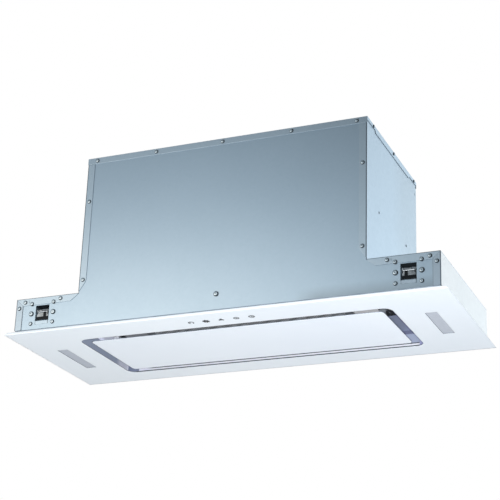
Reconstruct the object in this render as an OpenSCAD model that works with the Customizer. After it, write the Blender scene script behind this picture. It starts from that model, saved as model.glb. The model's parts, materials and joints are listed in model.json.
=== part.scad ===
// Built-in canopy range hood: a galvanised housing with a blower above a white panel
// with a suction plate. Millimetres. X runs to the right, the front is at -Y, Z is up.
// The origin is at the centre of the panel's underside.

/* [White panel] */
// Width of the white panel
panel_w = 898; // [870:1:960]
// Depth of the white panel, front to back
panel_d = 354; // [348:1:380]
// Thickness of the panel's sheet
panel_t = 1.2; // [1:0.1:1.5]
// Height of the folded rim
rim_h = 6; // [5.5:0.5:8]
// How far the rim leans in over its height
rim_lean = 4.5; // [3:0.5:5]
// Drop from the rim's top to the ledge that the housing stands on
ledge_drop = 1; // [0.6:0.1:1.2]
// Panel showing outside the housing at each end
overhang_x = 15; // [14:0.5:20]
// Panel showing outside the housing at the front and the back
overhang_y = 11.5; // [11:0.5:16]
// White band beside the recess at each end
band_x = 127; // [124:1:140]
// White band in front of the recess
band_front = 71; // [66:1:74]
// White band behind the recess
band_back = 55; // [52:1:60]
// Corner radius of the recess opening
opening_r = 19; // [12:1:24]
// Height of the seal between panel and housing
seal_h = 6; // [4:0.5:7]

/* [Housing] */
// Thickness of the galvanised sheet
sheet_t = 1; // [0.8:0.1:1.2]
// Height of the low base, from the underside
base_h = 76; // [74:1:84]
// Height of the upper box above the base
box_h = 289; // [286:1:330]
// Width of the upper box
box_w = 592; // [570:1:620]
// Step from the base in to the upper box at the back
box_step = 11; // [9:0.5:20]
// Width of the flanges that lap over the front and the back
lap = 15; // [13:0.5:16]
// Depth of the top cover's flange at the front and the back
cover_lap = 13; // [12:0.5:20]
// Depth of the top cover's flange at the sides
cover_side_lap = 12; // [10:0.5:16]
// Width of the flanges that are turned in at the bottom
foot_w = 12; // [10:0.5:13]

/* [Recess and suction plate] */
// Air gap at each end of the suction plate
gap_x = 19.5; // [16:0.5:24]
// Air gap in front of the suction plate
gap_front = 17; // [14:0.5:20]
// Air gap behind the suction plate
gap_back = 22; // [18:0.5:24]
// Thickness of the suction plate
plate_t = 1.2; // [1:0.1:1.5]
// Height of the recess ceiling above the underside
recess_h = 34; // [32:0.5:36]
// Distance of the recess wall from the panel's opening edge
recess_set = 1.5; // [1:0.1:2]
// Height of the plate's stiffening pan
pan_h = 10; // [8:0.5:12]
// Distance of the plate's catches from the centre
catch_x = 281; // [278:1:286]
// Distance of the plate's hinges from the centre
hinge_x = 265; // [260:1:275]
// Height of the plate's hinge line
hinge_z = 12; // [11:0.5:13]
// Corner radius of the suction plate
plate_r = 8; // [5:0.5:12]
// Distance of the hinge line from the plate's rear edge
hinge_in = 8; // [7:0.5:10]
// Radius of the plate's hinge pins
hinge_pin_r = 2; // [1.5:0.1:2.5]

/* [Grease filter] */
// Width of the filter cassette
filter_w = 437; // [420:1:450]
// Free ceiling at the front and the back of the filter cassette
filter_band = 18.5; // [17:0.5:22]
// Thickness of the filter cassette's frame
filter_t = 10; // [9:0.5:12]
// Width of the cassette's border
border = 16; // [14:0.5:18]
// Width of the border that holds the latches
latch_border = 24; // [23:0.5:26]
// Distance of the latches from the centre
latch_x = 120; // [100:1:140]
// Travel of a latch
latch_travel = 7; // [5:0.5:7]

/* [Lights and touch keys] */
// Width of a light's lens
lens_w = 22; // [20:0.5:24]
// Length of a light's lens
lens_l = 124; // [110:1:130]
// Distance of a lens's middle from the panel's end
lens_in = 64.5; // [62:0.5:66]
// Place of the lenses, front to back
lens_y = 3; // [0:0.5:6]
// Height of a light's tray
tray_h = 13; // [11:0.5:15]
// Spacing of the touch keys
key_pitch = 31; // [26:0.5:34]
// Distance of the touch keys from the panel's front edge
key_in = 40.5; // [36:0.5:41]
// Number of touch keys
keys = 5; // [3:1:7]

/* [Blower] */
// Outer radius of the impeller
impeller_r = 88; // [84:0.5:90]
// Length of the impeller
impeller_l = 160; // [140:1:164]
// Number of impeller blades
blades = 40; // [30:1:48]
// Length of the blower housing along its shaft
blower_l = 180; // [178:1:200]
// Gap between the impeller and the tongue of the scroll
tongue_gap = 7; // [5:0.5:9]
// How much the scroll's radius grows round its turn
scroll_growth = 45; // [40:1:46]
// Radius of the motor's body
motor_r = 46; // [40:0.5:50]
// Radius of the motor shaft
shaft_r = 4; // [3:0.5:5]

/* [Outlet] */
// Outer radius of the duct collar
collar_r = 74; // [70:0.5:74]
// Wall of the duct collar
collar_t = 2; // [1.5:0.5:2.5]
// Height of the collar above the top cover
collar_h = 45; // [42:1:55]
// Height of the flaps' pin above the top cover
flap_z = 14; // [12:0.5:18]
// Radius of the flaps' pin
flap_pin_r = 1.5; // [1.2:0.1:2]
// Radius of the cable's way through its gland
cable_r = 4.5; // [3.5:0.5:5]

/* [Spring clips] */
// Distance of a clip from the base's end
clip_in = 59.5; // [56:0.5:64]
// Height of a clip's middle
clip_z = 43.5; // [42:0.5:46]
// Width of a clip's window
window_w = 30; // [28:0.5:32]
// Height of a clip's window
window_h = 32; // [31:0.5:33]
// Spacing of the rivets beside a window
rivet_dx = 49; // [46:0.5:52]
// Spacing of the upper and the lower rivets
rivet_dz = 41; // [38:0.5:42]
// Length of a claw from its pin
claw_l = 21; // [19:0.5:21.5]
// Radius of a claw's pin
claw_pin_r = 1.5; // [1.2:0.1:1.8]

/* [Fasteners] */
// Radius of the small screw heads
head_r = 4.2; // [3:0.1:4.5]
// Height of the small screw heads
head_h = 2.2; // [1.5:0.1:3]
// Radius of the small screws' shanks
shank_r = 1.9; // [1.5:0.1:2.2]
// Height of the housing's side holes
side_hole_z = 197.5; // [150:0.5:230]
// Spacing of the housing's side holes
side_hole_dy = 174; // [150:1:190]
// Radius of the housing's side holes
side_hole_r = 3; // [2.2:0.1:3.4]

/* [Hidden] */
$fn = 48;

// Running gap between a pin and its bore, and gap round a screw or a laid-in piece
run = 0.08;
fit = 0.1;
rest = 0.3;

// Overall sizes of the housing
ht = sheet_t;
base_w = panel_w - 2 * overhang_x;
base_d = panel_d - 2 * overhang_y;
face_y = -base_d / 2;
back_y = base_d / 2;
box_back = back_y - box_step;
box_mid = (face_y + box_back) / 2;
top_z = base_h + box_h;
ledge_z = rim_h - ledge_drop;
foot_z = ledge_z + seal_h;

// The recess opening and the suction plate, with their shared middle
opening_w = panel_w - 2 * band_x;
opening_d = panel_d - band_front - band_back;
mid_y = (band_front - band_back) / 2;
plate_w = opening_w - 2 * gap_x;
plate_front = mid_y - opening_d / 2 + gap_front;
plate_back = mid_y + opening_d / 2 - gap_back;
plate_d = plate_back - plate_front;
plate_mid = (plate_front + plate_back) / 2;
hinge_y = plate_back - hinge_in;
recess_w = opening_w + 2 * recess_set;
recess_d = opening_d + 2 * recess_set;
flange_w = 12;
ledge_out_x = 2;
ledge_out_y = 3;
ledge_w = 2;
rim_skin = 1.8;
ceiling_top = recess_h + ht;

// The filter, let into the ceiling with a gap all round
filter_gap = 1;
filter_shift = 3;
filter_drop = 0.8;
filter_d = opening_d - 2 * filter_band;
filter_y = mid_y - filter_shift;
filter_z = recess_h - filter_drop;
filter_front = filter_y - filter_d / 2;
filter_back = filter_y + filter_d / 2;

// The scroll: its radius grows with the angle from the tongue to the rear
tongue_a = 75;
scroll_r0 = impeller_r + tongue_gap;
scroll_end = scroll_r0 + scroll_growth;
outlet_up = 9;
outlet_rise = scroll_end + outlet_up;
side_margin = 8;
blower_clear = 5;
function scroll_r(a) = scroll_r0 + scroll_growth * (a - tongue_a) / (360 - tongue_a);
axis_y = face_y + 2 * ht + blower_clear + side_margin + scroll_r(180);
axis_z = top_z - ht - outlet_rise;
outlet_y = axis_y + scroll_end - collar_r;
blade_d = 12;
blade_in = impeller_r - blade_d;
inlet_r = blade_in - 2;
ring_w = 18;
ring_r = inlet_r + ring_w;
ring_t = 2.5;

// The motor, its bracket and its rubber bushes
motor_x = -8;
disc_x = 3;
motor_back = -blower_l / 2 + 14;
motor_neck_r = 20;
bush_l = 7;
bush_r = 7;
bush_at = ring_r + 9;
arm_a = [30, 150, 270];
bracket_t = 2;
bracket_x = -blower_l / 2 - ht - bush_l - bracket_t;
shaft_in = 30;
shaft_end = 22;
hub_r = 14;
hub_x = motor_x + 2;
hub_l = 16;

// The clips
clip_x = base_w / 2 - clip_in;
window_low = clip_z - window_h / 2;
claw_rise = 7;
claw_z = clip_z + claw_rise;
claw_back = 4;
lip_h = 7;
claw_y = face_y + ht + claw_back;
claw_t = 2;
claw_w = window_w - 5;
cage_t = 1.5;
cage_d = 20;
cage_w = window_w + 2;

// The electrics box hangs on the left side panel
ebox_d = 120;
ebox_h = 90;
ebox_w = 58;
ebox_y = box_mid;
ebox_wall = 2;
ebox_low = 125;
ebox_z = top_z - ebox_low;
gland_in = 46;
gland_x = -box_w / 2 + gland_in;
gland_y = ebox_y - ebox_d / 3;
gland_wall = 4;

// Places of the screws: x and z on the front and back, for one half
top_screw_low = 6;
top_screw_dx = 144;
top_screw_in = 20;
strip_screw_in = 8;
strip_screw_low = 95;
strip_screw_up = 26.6;
end_screw_in = 7;
end_screw_low = 19;
shoulder_screw_in = [19.5, 7.5];
shoulder_screw_out = [39, 6.5];
face_screw_low = 34;
top_screws = [[0, top_z - top_screw_low], [top_screw_dx, top_z - top_screw_low],
    [box_w / 2 - top_screw_in, top_z - top_screw_low]];
strip_screws = [[box_w / 2 - strip_screw_in, top_z - strip_screw_low],
    [box_w / 2 - strip_screw_in, base_h + strip_screw_up]];
end_screws = [[base_w / 2 - end_screw_in, base_h - end_screw_low]];
shoulder_screws = [[base_w / 2 - shoulder_screw_in[0], base_h - shoulder_screw_in[1]],
    [box_w / 2 + shoulder_screw_out[0], base_h - shoulder_screw_out[1]]];
side_screw_in = [38.5, 17];
side_screw_y = [face_y + side_screw_in[0], box_mid + 6, box_back - side_screw_in[1]];
side_screw_z = top_z - 3.6;
side_hole_y = box_mid + 1.5;
notch_in = 8;
notch_low = 27;
collar_lip = 16;
collar_foot = 3;
collar_screw_r = collar_r + 10;

// A wall whose outline is drawn in x and z, from y0 to y0 + thick
module wall_xz(y0, thick) {
    translate([0, y0 + thick, 0])
        rotate([90, 0, 0])
            linear_extrude(thick) children();
}

// A wall whose outline is drawn in y and z, from x0 to x0 + thick
module wall_yz(x0, thick) {
    translate([x0, 0, 0])
        rotate([90, 0, 90])
            linear_extrude(thick) children();
}

// A box given by its two corners
module slab(low, high) {
    translate(low)
        cube(high - low);
}

// A rectangle with true round corners
module round_rect(w, d, r) {
    square([w - 2 * r, d], center = true);
    square([w, d - 2 * r], center = true);
    for (sx = [-1, 1], sy = [-1, 1])
        translate([sx * (w / 2 - r), sy * (d / 2 - r)])
            circle(r);
}

// A block whose four sides lean in by lean over its height
module leaning_block(w, d, h, lean) {
    intersection() {
        wall_xz(-d / 2, d)
            polygon([[-w / 2, 0], [w / 2, 0], [w / 2 - lean, h], [-w / 2 + lean, h]]);
        wall_yz(-w / 2, w)
            polygon([[-d / 2, 0], [d / 2, 0], [d / 2 - lean, h], [-d / 2 + lean, h]]);
    }
}

// A pan-head screw along +z: its seat is at the origin, its shank runs down
module pan_screw(r, h, shank, length) {
    rotate_extrude()
        polygon([[0, -length], [shank, -length], [shank, 0], [r, 0], [r, h * 0.35],
            [r * 0.86, h * 0.72], [r * 0.55, h * 0.94], [0, h]]);
}

// Turns a piece that points up so that it points out of the front or the back
module out_of_front(y) {
    translate([0, y, 0])
        rotate([90, 0, 0])
            children();
}

// Mirrors a right-hand piece to the left for side -1
module hand(side) {
    mirror([side < 0 ? 1 : 0, 0, 0])
        children();
}

// Mirrors a front piece to the back for end 1
module turn_back(end) {
    mirror([0, end > 0 ? 1 : 0, 0])
        children();
}

// Round holes through the front sheets, on both halves
module front_holes(points, y0, depth) {
    for (p = points, s = [-1, 1])
        if (p[0] != 0 || s > 0)
            translate([s * p[0], y0 + depth, p[1]])
                rotate([90, 0, 0])
                    cylinder(r = shank_r + fit, h = depth);
}

// The white panel: a folded pan with a leaning rim, the recess opening and two lamp slots
module canopy_panel() {
    color("#e6eef6")
    difference() {
        leaning_block(panel_w, panel_d, rim_h, rim_lean);
        // Hollow behind the rim
        translate([0, 0, panel_t])
            leaning_block(panel_w - 2 * rim_skin, panel_d - 2 * rim_skin, ledge_z - 2 * panel_t,
                rim_lean * 0.7);
        // Ledge for the housing
        slab([-base_w / 2 - ledge_out_x, -base_d / 2 - ledge_out_y, ledge_z],
            [base_w / 2 + ledge_out_x, base_d / 2 + ledge_out_y, rim_h + 1]);
        // Open middle inside the ledge
        slab([-base_w / 2 + foot_w + ledge_w, -base_d / 2 + foot_w + ledge_w, panel_t],
            [base_w / 2 - foot_w - ledge_w, base_d / 2 - foot_w - ledge_w, rim_h + 1]);
        // Recess opening
        translate([0, mid_y, -1])
            linear_extrude(panel_t + 2)
                round_rect(opening_w, opening_d, opening_r);
        // Lamp slots
        for (s = [-1, 1])
            translate([s * (panel_w / 2 - lens_in), lens_y, panel_t / 2])
                cube([lens_w + 2 * rest, lens_l + 2 * rest, panel_t + 2], center = true);
    }
}

// The soft seal between the panel's ledge and the housing's feet
module panel_seal() {
    inset = 1.5;
    color("#5d666e")
    translate([0, 0, ledge_z])
        linear_extrude(seal_h)
            difference() {
                square([base_w - 2 * inset, base_d - 2 * inset], center = true);
                square([base_w - 2 * foot_w, base_d - 2 * foot_w], center = true);
            }
}

// Outline of the front: the low base with the upper box on it
module front_outline(w_base, w_box) {
    translate([-w_base / 2, foot_z])
        square([w_base, base_h - ht - foot_z]);
    translate([-w_box / 2, base_h - ht - 1])
        square([w_box, top_z - base_h + 1]);
}

// Windows and rivet holes of the two clips, cut from y0 on
module clip_cuts(y0, depth) {
    for (s = [-1, 1]) {
        slab([s * clip_x - window_w / 2, y0, window_low],
            [s * clip_x + window_w / 2, y0 + depth, window_low + window_h]);
        for (i = [-1, 1], j = [-1, 0, 1])
            translate([s * clip_x + i * rivet_dx / 2, y0 + depth, clip_z + j * rivet_dz / 2])
                rotate([90, 0, 0])
                    cylinder(r = shank_r + fit, h = depth);
    }
}

// Front sheet: one piece for base and upper box, with its foot turned in
module front_panel() {
    color("#9fb4c4")
    difference() {
        union() {
            wall_xz(face_y + ht, ht)
                front_outline(base_w - 2 * ht, box_w - 2 * ht);
            slab([-base_w / 2 + lap, face_y + 2 * ht, foot_z],
                [base_w / 2 - lap, face_y + 2 * ht + foot_w, foot_z + ht]);
            // Lips pressed out of the sheet under the windows
            for (s = [-1, 1])
                slab([s * clip_x - window_w / 2 + 1, face_y + ht / 2, window_low - lip_h],
                    [s * clip_x + window_w / 2 - 1, face_y + ht, window_low]);
        }
        front_holes(concat(top_screws, strip_screws, end_screws, shoulder_screws,
            [[0, base_h - face_screw_low]]), face_y, 3 * ht);
        clip_cuts(face_y + ht / 2 - 1, 2 * ht + 1);
    }
}

// Back sheet: the upper box steps out to the base behind it
module back_panel() {
    color("#9fb4c4")
    difference() {
        union() {
            slab([-box_w / 2 + ht, box_back - 2 * ht, base_h - ht],
                [box_w / 2 - ht, box_back - ht, top_z - ht]);
            slab([-box_w / 2 + ht, box_back - 2 * ht, base_h - ht],
                [box_w / 2 - ht, back_y - ht, base_h]);
            slab([-base_w / 2 + ht, back_y - 2 * ht, foot_z],
                [base_w / 2 - ht, back_y - ht, base_h - ht]);
            slab([-base_w / 2 + lap, back_y - 2 * ht - foot_w, foot_z],
                [base_w / 2 - lap, back_y - 2 * ht, foot_z + ht]);
        }
        front_holes(concat(top_screws, strip_screws), box_back - 3 * ht, 3 * ht);
        front_holes(concat(end_screws, shoulder_screws), back_y - 3 * ht, 3 * ht);
        clip_cuts(back_y - 3 * ht, 3 * ht);
    }
}

// Toe of a side panel's flange: distance from the box's edge and height above the base
strip_toe = [[0, 4], [1.5, 4], [11, 18], [14, 23]];
toe_h = 28;
// A narrow groove stays open between the flange and the cover's flange above it
strip_groove = 0.8;
strip_top = top_z - cover_lap - strip_groove;

// Outline of a side panel's front flange, for the right side
module strip_outline() {
    out = box_w / 2;
    polygon(concat([for (t = strip_toe) [out - min(t[0], lap - 1), base_h + t[1]]],
        [[out - lap, base_h + toe_h], [out - lap, strip_top], [out, strip_top]]));
}

// Right side panel of the upper box, with flanges over the front and the back
module side_panel() {
    out = box_w / 2;
    color("#b9cdd9")
    difference() {
        union() {
            slab([out - ht, face_y + ht, base_h], [out, box_back - ht, top_z - ht]);
            // Skirt inside the base
            slab([out - ht, face_y + 2 * ht, base_h - lap], [out, box_back - 2 * ht, base_h]);
            wall_xz(face_y, ht)
                strip_outline();
            wall_xz(box_back - ht, ht)
                strip_outline();
        }
        front_holes(strip_screws, face_y - 1, 3 * ht);
        front_holes(strip_screws, box_back - 2 * ht, 3 * ht);
        // Holes for fixing to the cabinet
        for (s = [-1, 1])
            translate([out - 2 * ht, side_hole_y + s * side_hole_dy / 2, side_hole_z])
                rotate([0, 90, 0])
                    cylinder(r = side_hole_r, h = 3 * ht);
        // Holes under the cover's side flange
        for (y = side_screw_y)
            translate([out - 2 * ht, y, side_screw_z])
                rotate([0, 90, 0])
                    cylinder(r = shank_r + fit, h = 3 * ht);
        // Small notch near the rear edge
        slab([out - 2 * ht, box_back - notch_in - 2, top_z - notch_low - 5],
            [out + 1, box_back - notch_in, top_z - notch_low]);
    }
}

// Side flange of the top cover: deep in the middle, shallow at its ends
module cover_side_outline() {
    ends = 47;
    shallow = 7;
    slope = cover_side_lap - shallow;
    y0 = face_y + ht;
    y1 = box_back - ht;
    polygon([[y0, top_z - ht], [y0, top_z - shallow], [y0 + ends, top_z - shallow],
        [y0 + ends + slope, top_z - cover_side_lap], [y1 - ends - slope, top_z - cover_side_lap],
        [y1 - ends, top_z - shallow], [y1, top_z - shallow], [y1, top_z - ht]]);
}

// Top cover with flanges on all four sides, the outlet hole and the gland hole
module top_cover() {
    out = box_w / 2;
    color("#8da3b2")
    difference() {
        union() {
            slab([-out - ht, face_y, top_z - ht], [out + ht, box_back, top_z]);
            slab([-out - ht, face_y, top_z - cover_lap], [out + ht, face_y + ht, top_z - ht]);
            slab([-out - ht, box_back - ht, top_z - cover_lap], [out + ht, box_back, top_z - ht]);
            for (s = [-1, 1])
                wall_yz(s > 0 ? out : -out - ht, ht)
                    cover_side_outline();
        }
        front_holes(top_screws, face_y - 1, 3 * ht);
        front_holes(top_screws, box_back - 2 * ht, 3 * ht);
        for (s = [-1, 1], y = side_screw_y)
            translate([s * (out + ht / 2) - 2 * ht, y, side_screw_z])
                rotate([0, 90, 0])
                    cylinder(r = shank_r + fit, h = 4 * ht);
        translate([0, outlet_y, top_z - 2 * ht])
            cylinder(r = collar_r - collar_t - 1, h = 3 * ht);
        for (a = [45:90:315])
            translate([collar_screw_r * cos(a), outlet_y + collar_screw_r * sin(a), top_z - 2 * ht])
                cylinder(r = shank_r + fit, h = 3 * ht);
        translate([gland_x, gland_y, top_z - 2 * ht])
            cylinder(r = cable_r + gland_wall + fit, h = 3 * ht);
    }
}

// Front flange of the right shoulder, mitred to the end wall's flange
module shoulder_lap_outline() {
    polygon([[base_w / 2, base_h], [box_w / 2 + ht, base_h], [box_w / 2 + ht, base_h - 2],
        [box_w / 2 + lap + 2, base_h - lap + 0.5], [base_w / 2 - lap, base_h - lap + 0.5]]);
}

// Places of the shoulders' small slots: the left one from the base's end, the right one from the box
slot_from_end = 29;
slot_from_box = 47;

// Right shoulder: the top of the base beside the upper box, with a small slot at slot_x
module shoulder(slot_x) {
    color("#a9bbc8")
    difference() {
        union() {
            slab([box_w / 2, face_y + ht, base_h - ht], [base_w / 2, back_y - ht, base_h]);
            // Skirt beside the side panel's skirt
            slab([box_w / 2, face_y + lap, base_h - lap], [box_w / 2 + ht, back_y - lap, base_h - ht]);
            for (y = [face_y, back_y - ht])
                wall_xz(y, ht)
                    shoulder_lap_outline();
        }
        front_holes(shoulder_screws, face_y - 1, 3 * ht);
        front_holes(shoulder_screws, back_y - 2 * ht, 3 * ht);
        // Small slot in the front flange
        slab([slot_x - 0.7, face_y - 1, base_h - 9], [slot_x + 0.7, face_y + 0.6 * ht, base_h - 4]);
        // Holes for the clips' upper rivets
        for (i = [-1, 1], y = [face_y, back_y - ht])
            translate([clip_x + i * rivet_dx / 2, y + 2 * ht, clip_z + rivet_dz / 2])
                rotate([90, 0, 0])
                    cylinder(r = shank_r + fit, h = 3 * ht);
    }
}

// Right end wall of the base, with flanges turned over the front, the back, the top and the foot
module end_wall() {
    out = base_w / 2;
    color("#d3dee7")
    difference() {
        union() {
            slab([out - ht, face_y + ht, foot_z], [out, back_y - ht, base_h - ht]);
            slab([out - lap, face_y + lap, base_h - 2 * ht], [out - ht, back_y - lap, base_h - ht]);
            slab([out - foot_w, face_y + foot_w + 3 * ht, foot_z],
                [out - ht, back_y - foot_w - 3 * ht, foot_z + ht]);
            for (y = [face_y, back_y - ht])
                wall_xz(y, ht)
                    polygon([[out, foot_z], [out, base_h], [out - lap, base_h - lap + 0.5],
                        [out - lap, foot_z]]);
        }
        front_holes(end_screws, face_y - 1, 3 * ht);
        front_holes(end_screws, back_y - 2 * ht, 3 * ht);
    }
}

// Recess behind the opening: an outer flange, walls and a ceiling with the filter's opening
module recess_frame() {
    outer_w = recess_w + 2 * ht;
    outer_d = recess_d + 2 * ht;
    color("#aeb8c6")
    difference() {
        union() {
            translate([0, mid_y, panel_t])
                linear_extrude(ht)
                    round_rect(outer_w + 2 * flange_w, outer_d + 2 * flange_w, opening_r);
            translate([0, mid_y, panel_t])
                linear_extrude(ceiling_top - panel_t)
                    round_rect(outer_w, outer_d, opening_r + ht);
        }
        translate([0, mid_y, panel_t - 1])
            linear_extrude(recess_h - panel_t + 1)
                round_rect(recess_w, recess_d, opening_r);
        slab([-filter_w / 2 - filter_gap, filter_front - filter_gap, recess_h - 1],
            [filter_w / 2 + filter_gap, filter_back + filter_gap, ceiling_top + 1]);
    }
}

// The flat white suction plate
module suction_plate() {
    color("#e7f0fa")
    translate([0, plate_mid, 0])
        linear_extrude(plate_t)
            round_rect(plate_w, plate_d, plate_r);
}

// Stiffening pan on the plate's back, open towards the plate
module plate_stiffener() {
    end_gap = 15;
    inset = 42;
    w = 2 * (catch_x - magnet_w / 2 - end_gap);
    color("#b6c1ca")
    difference() {
        slab([-w / 2, plate_front + inset, plate_t], [w / 2, plate_back - inset, plate_t + pan_h]);
        slab([-w / 2 + ht, plate_front + inset + ht, plate_t - 1],
            [w / 2 - ht, plate_back - inset - ht, plate_t + pan_h - ht]);
    }
}

ear_t = 3;
ear_gap = 0.5;
ear_foot_w = 18;
ear_foot_t = 1.5;
ear_foot_out = 6;
eye_r = hinge_pin_r + 2.5;
bore_l = 40;

// Two forks that hang from the ceiling over the plate's rear edge
module plate_hinge_brackets() {
    color("#8f99a3")
    for (s = [-1, 1])
        translate([s * hinge_x, 0, 0])
            difference() {
                union() {
                    for (i = [-1, 1])
                        wall_yz(i > 0 ? ear_t / 2 + ear_gap : -1.5 * ear_t - ear_gap, ear_t) {
                            translate([hinge_y, hinge_z])
                                circle(eye_r);
                            translate([hinge_y - eye_r, hinge_z])
                                square([2 * eye_r, recess_h - hinge_z]);
                        }
                    slab([-1.5 * ear_t - ear_gap, hinge_y - eye_r, recess_h - 2],
                        [1.5 * ear_t + ear_gap, hinge_y + eye_r, recess_h]);
                }
                translate([-bore_l / 2, hinge_y, hinge_z])
                    rotate([0, 90, 0])
                        cylinder(r = hinge_pin_r + run / 2, h = bore_l);
            }
}

// Two ears on the plate that turn on the pins
module plate_hinge_ears() {
    color("#8f99a3")
    for (s = [-1, 1])
        translate([s * hinge_x, 0, 0])
            difference() {
                union() {
                    wall_yz(-ear_t / 2, ear_t) {
                        translate([hinge_y, hinge_z])
                            circle(eye_r - 0.5);
                        translate([hinge_y - eye_r + 0.5, plate_t])
                            square([2 * eye_r - 1, hinge_z - plate_t]);
                    }
                    slab([-ear_foot_w / 2, hinge_y - eye_r - ear_foot_out, plate_t],
                        [ear_foot_w / 2, hinge_y + eye_r - 0.5, plate_t + ear_foot_t]);
                }
                translate([-bore_l / 2, hinge_y, hinge_z])
                    rotate([0, 90, 0])
                        cylinder(r = hinge_pin_r + run, h = bore_l);
            }
}

// The two hinge pins
module plate_hinge_pins() {
    half = 1.5 * ear_t + ear_gap + 1;
    color("#c3c9cf")
    for (s = [-1, 1])
        translate([s * hinge_x - half, hinge_y, hinge_z])
            rotate([0, 90, 0])
                cylinder(r = hinge_pin_r, h = 2 * half);
}

// The flat catches under the ceiling and the bent strikers below them
magnet_w = 23;
magnet_d = 52;
magnet_t = 2;
magnet_in = 62;
magnet_low = recess_h - magnet_t;
magnet_y = plate_front + magnet_in;
striker_w = 12;
striker_d = 14;
striker_in = 3;
striker_t = 1.5;

// Two black magnet catches under the ceiling, at the ends of the filter
module plate_magnets() {
    color("#2b3036")
    for (s = [-1, 1])
        slab([s * catch_x - magnet_w / 2, magnet_y, magnet_low],
            [s * catch_x + magnet_w / 2, magnet_y + magnet_d, recess_h]);
}

// Steel strikers on the plate that the magnets hold: a foot, a web and a top flange each
module plate_strikers() {
    y0 = magnet_y + striker_in;
    top = magnet_low - rest;
    color("#6c757d")
    for (s = [-1, 1])
        difference() {
            slab([s * catch_x - striker_w / 2, y0, plate_t],
                [s * catch_x + striker_w / 2, y0 + striker_d, top]);
            slab([s * catch_x - striker_w, y0 + striker_t, plate_t + striker_t],
                [s * catch_x + striker_w, y0 + striker_d + 1, top - striker_t]);
        }
}

bolt_w = 12;
bolt_z = ceiling_top + rest;
bolt_t = 2.4;
knob_w = 8;
bolt_out = 6;
tongue_w = 30;
tongue_t = 2;
knob_in = 3.5;
knob_l = 8.5;
knob_h = 5;

// The filter's frame, with slots for the latches and two tongues at the back
module filter_frame() {
    color("#b4bac0")
    difference() {
        union() {
            difference() {
                slab([-filter_w / 2, filter_front, filter_z],
                    [filter_w / 2, filter_back, filter_z + filter_t]);
                slab([-filter_w / 2 + border, filter_front + latch_border, filter_z - 1],
                    [filter_w / 2 - border, filter_back - border, filter_z + filter_t + 1]);
            }
            for (s = [-1, 1])
                slab([s * latch_x - tongue_w / 2, filter_back, bolt_z],
                    [s * latch_x + tongue_w / 2, filter_back + bolt_out, bolt_z + tongue_t]);
        }
        for (s = [-1, 1]) {
            slab([s * latch_x - bolt_w / 2 - rest, filter_front - 1, bolt_z - rest],
                [s * latch_x + bolt_w / 2 + rest, filter_front + latch_border - 2, bolt_z + bolt_t + rest]);
            slab([s * latch_x - knob_w / 2 - rest, filter_front + knob_in - 2 * rest, filter_z - 1],
                [s * latch_x + knob_w / 2 + rest,
                    filter_front + knob_in + knob_l + latch_travel + 4 * rest, bolt_z]);
        }
    }
}

// The filter's metal mesh between its borders
module filter_mesh() {
    w = filter_w - 2 * border;
    d = filter_d - border - latch_border;
    mid = filter_front + latch_border + d / 2;
    columns = 24;
    rows = 9;
    pitch_x = w / columns;
    pitch_y = d / rows;
    color("#7f878e")
    translate([0, mid, filter_z + 1.2])
        linear_extrude(1)
            difference() {
                square([w, d], center = true);
                for (i = [0:columns - 1], j = [0:rows - 1])
                    translate([(i + 0.5) * pitch_x - w / 2, (j + 0.5) * pitch_y - d / 2])
                        square([pitch_x * 0.72, pitch_y * 0.55], center = true);
            }
}

// A latch: a bolt over the ceiling's edge and a finger knob under the frame
module filter_latch(side) {
    y0 = filter_front - bolt_out;
    color("#dfe3e7")
    translate([side * latch_x, 0, 0]) {
        slab([-bolt_w / 2, y0, bolt_z],
            [bolt_w / 2, filter_front + latch_border - 2.5 - latch_travel, bolt_z + bolt_t]);
        slab([-knob_w / 2, filter_front + knob_in, filter_z - knob_h],
            [knob_w / 2, filter_front + knob_in + knob_l, bolt_z]);
    }
}

lens_x = panel_w / 2 - lens_in;
lens_lip = 3;
lens_land = 0.3;

// The lens of the right lamp, sunk a little into its slot
module lamp_lens() {
    color("#c3cad3")
    translate([lens_x, lens_y, 0]) {
        slab([-lens_w / 2, -lens_l / 2, panel_t - lens_land], [lens_w / 2, lens_l / 2, panel_t]);
        slab([-lens_w / 2 - lens_lip, -lens_l / 2 - lens_lip, panel_t],
            [lens_w / 2 + lens_lip, lens_l / 2 + lens_lip, panel_t + 1.5]);
    }
}

tray_z = panel_t + 1.5;

// The tray that holds the right lamp's board over its lens
module lamp_tray() {
    color("#c9ced3")
    translate([lens_x, lens_y, tray_z])
        difference() {
            slab([-lens_w / 2 - lens_lip, -lens_l / 2 - lens_lip, 0],
                [lens_w / 2 + lens_lip, lens_l / 2 + lens_lip, tray_h]);
            slab([-lens_w / 2 - 1, -lens_l / 2 - 1, -1],
                [lens_w / 2 + 1, lens_l / 2 + 1, tray_h - 1.2]);
        }
}

// The lamps' boards with their light chips
module lamp_boards() {
    chips = 6;
    color("#f0ead0")
    for (s = [-1, 1])
        translate([s * lens_x, lens_y, tray_z + tray_h - 1.2]) {
            slab([-lens_w / 2 + 1, -lens_l / 2 + 2, -1.6], [lens_w / 2 - 1, lens_l / 2 - 2, 0]);
            for (i = [0:chips - 1])
                translate([0, (i + 0.5 - chips / 2) * (lens_l - 10) / chips, -2.1])
                    cube([5, 5, 1], center = true);
        }
}

driver_in = 24;
driver_w = 60;
driver_l = 120;
driver_h = 22;

// The lamps' supply under the left shoulder
module lamp_driver() {
    color("#e3e6e8")
    slab([-base_w / 2 + driver_in, -driver_l / 2, base_h - ht - driver_h],
        [-base_w / 2 + driver_in + driver_w, driver_l / 2, base_h - ht]);
}

key_y = -panel_d / 2 + key_in;
pad_h = 1.6;

// The touch keys' sensor pads, against the panel's inner face
module touch_pads() {
    color("#caa85a")
    for (i = [0:keys - 1])
        translate([(i - (keys - 1) / 2) * key_pitch, key_y, panel_t])
            cylinder(r = 5, h = pad_h);
}

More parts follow.
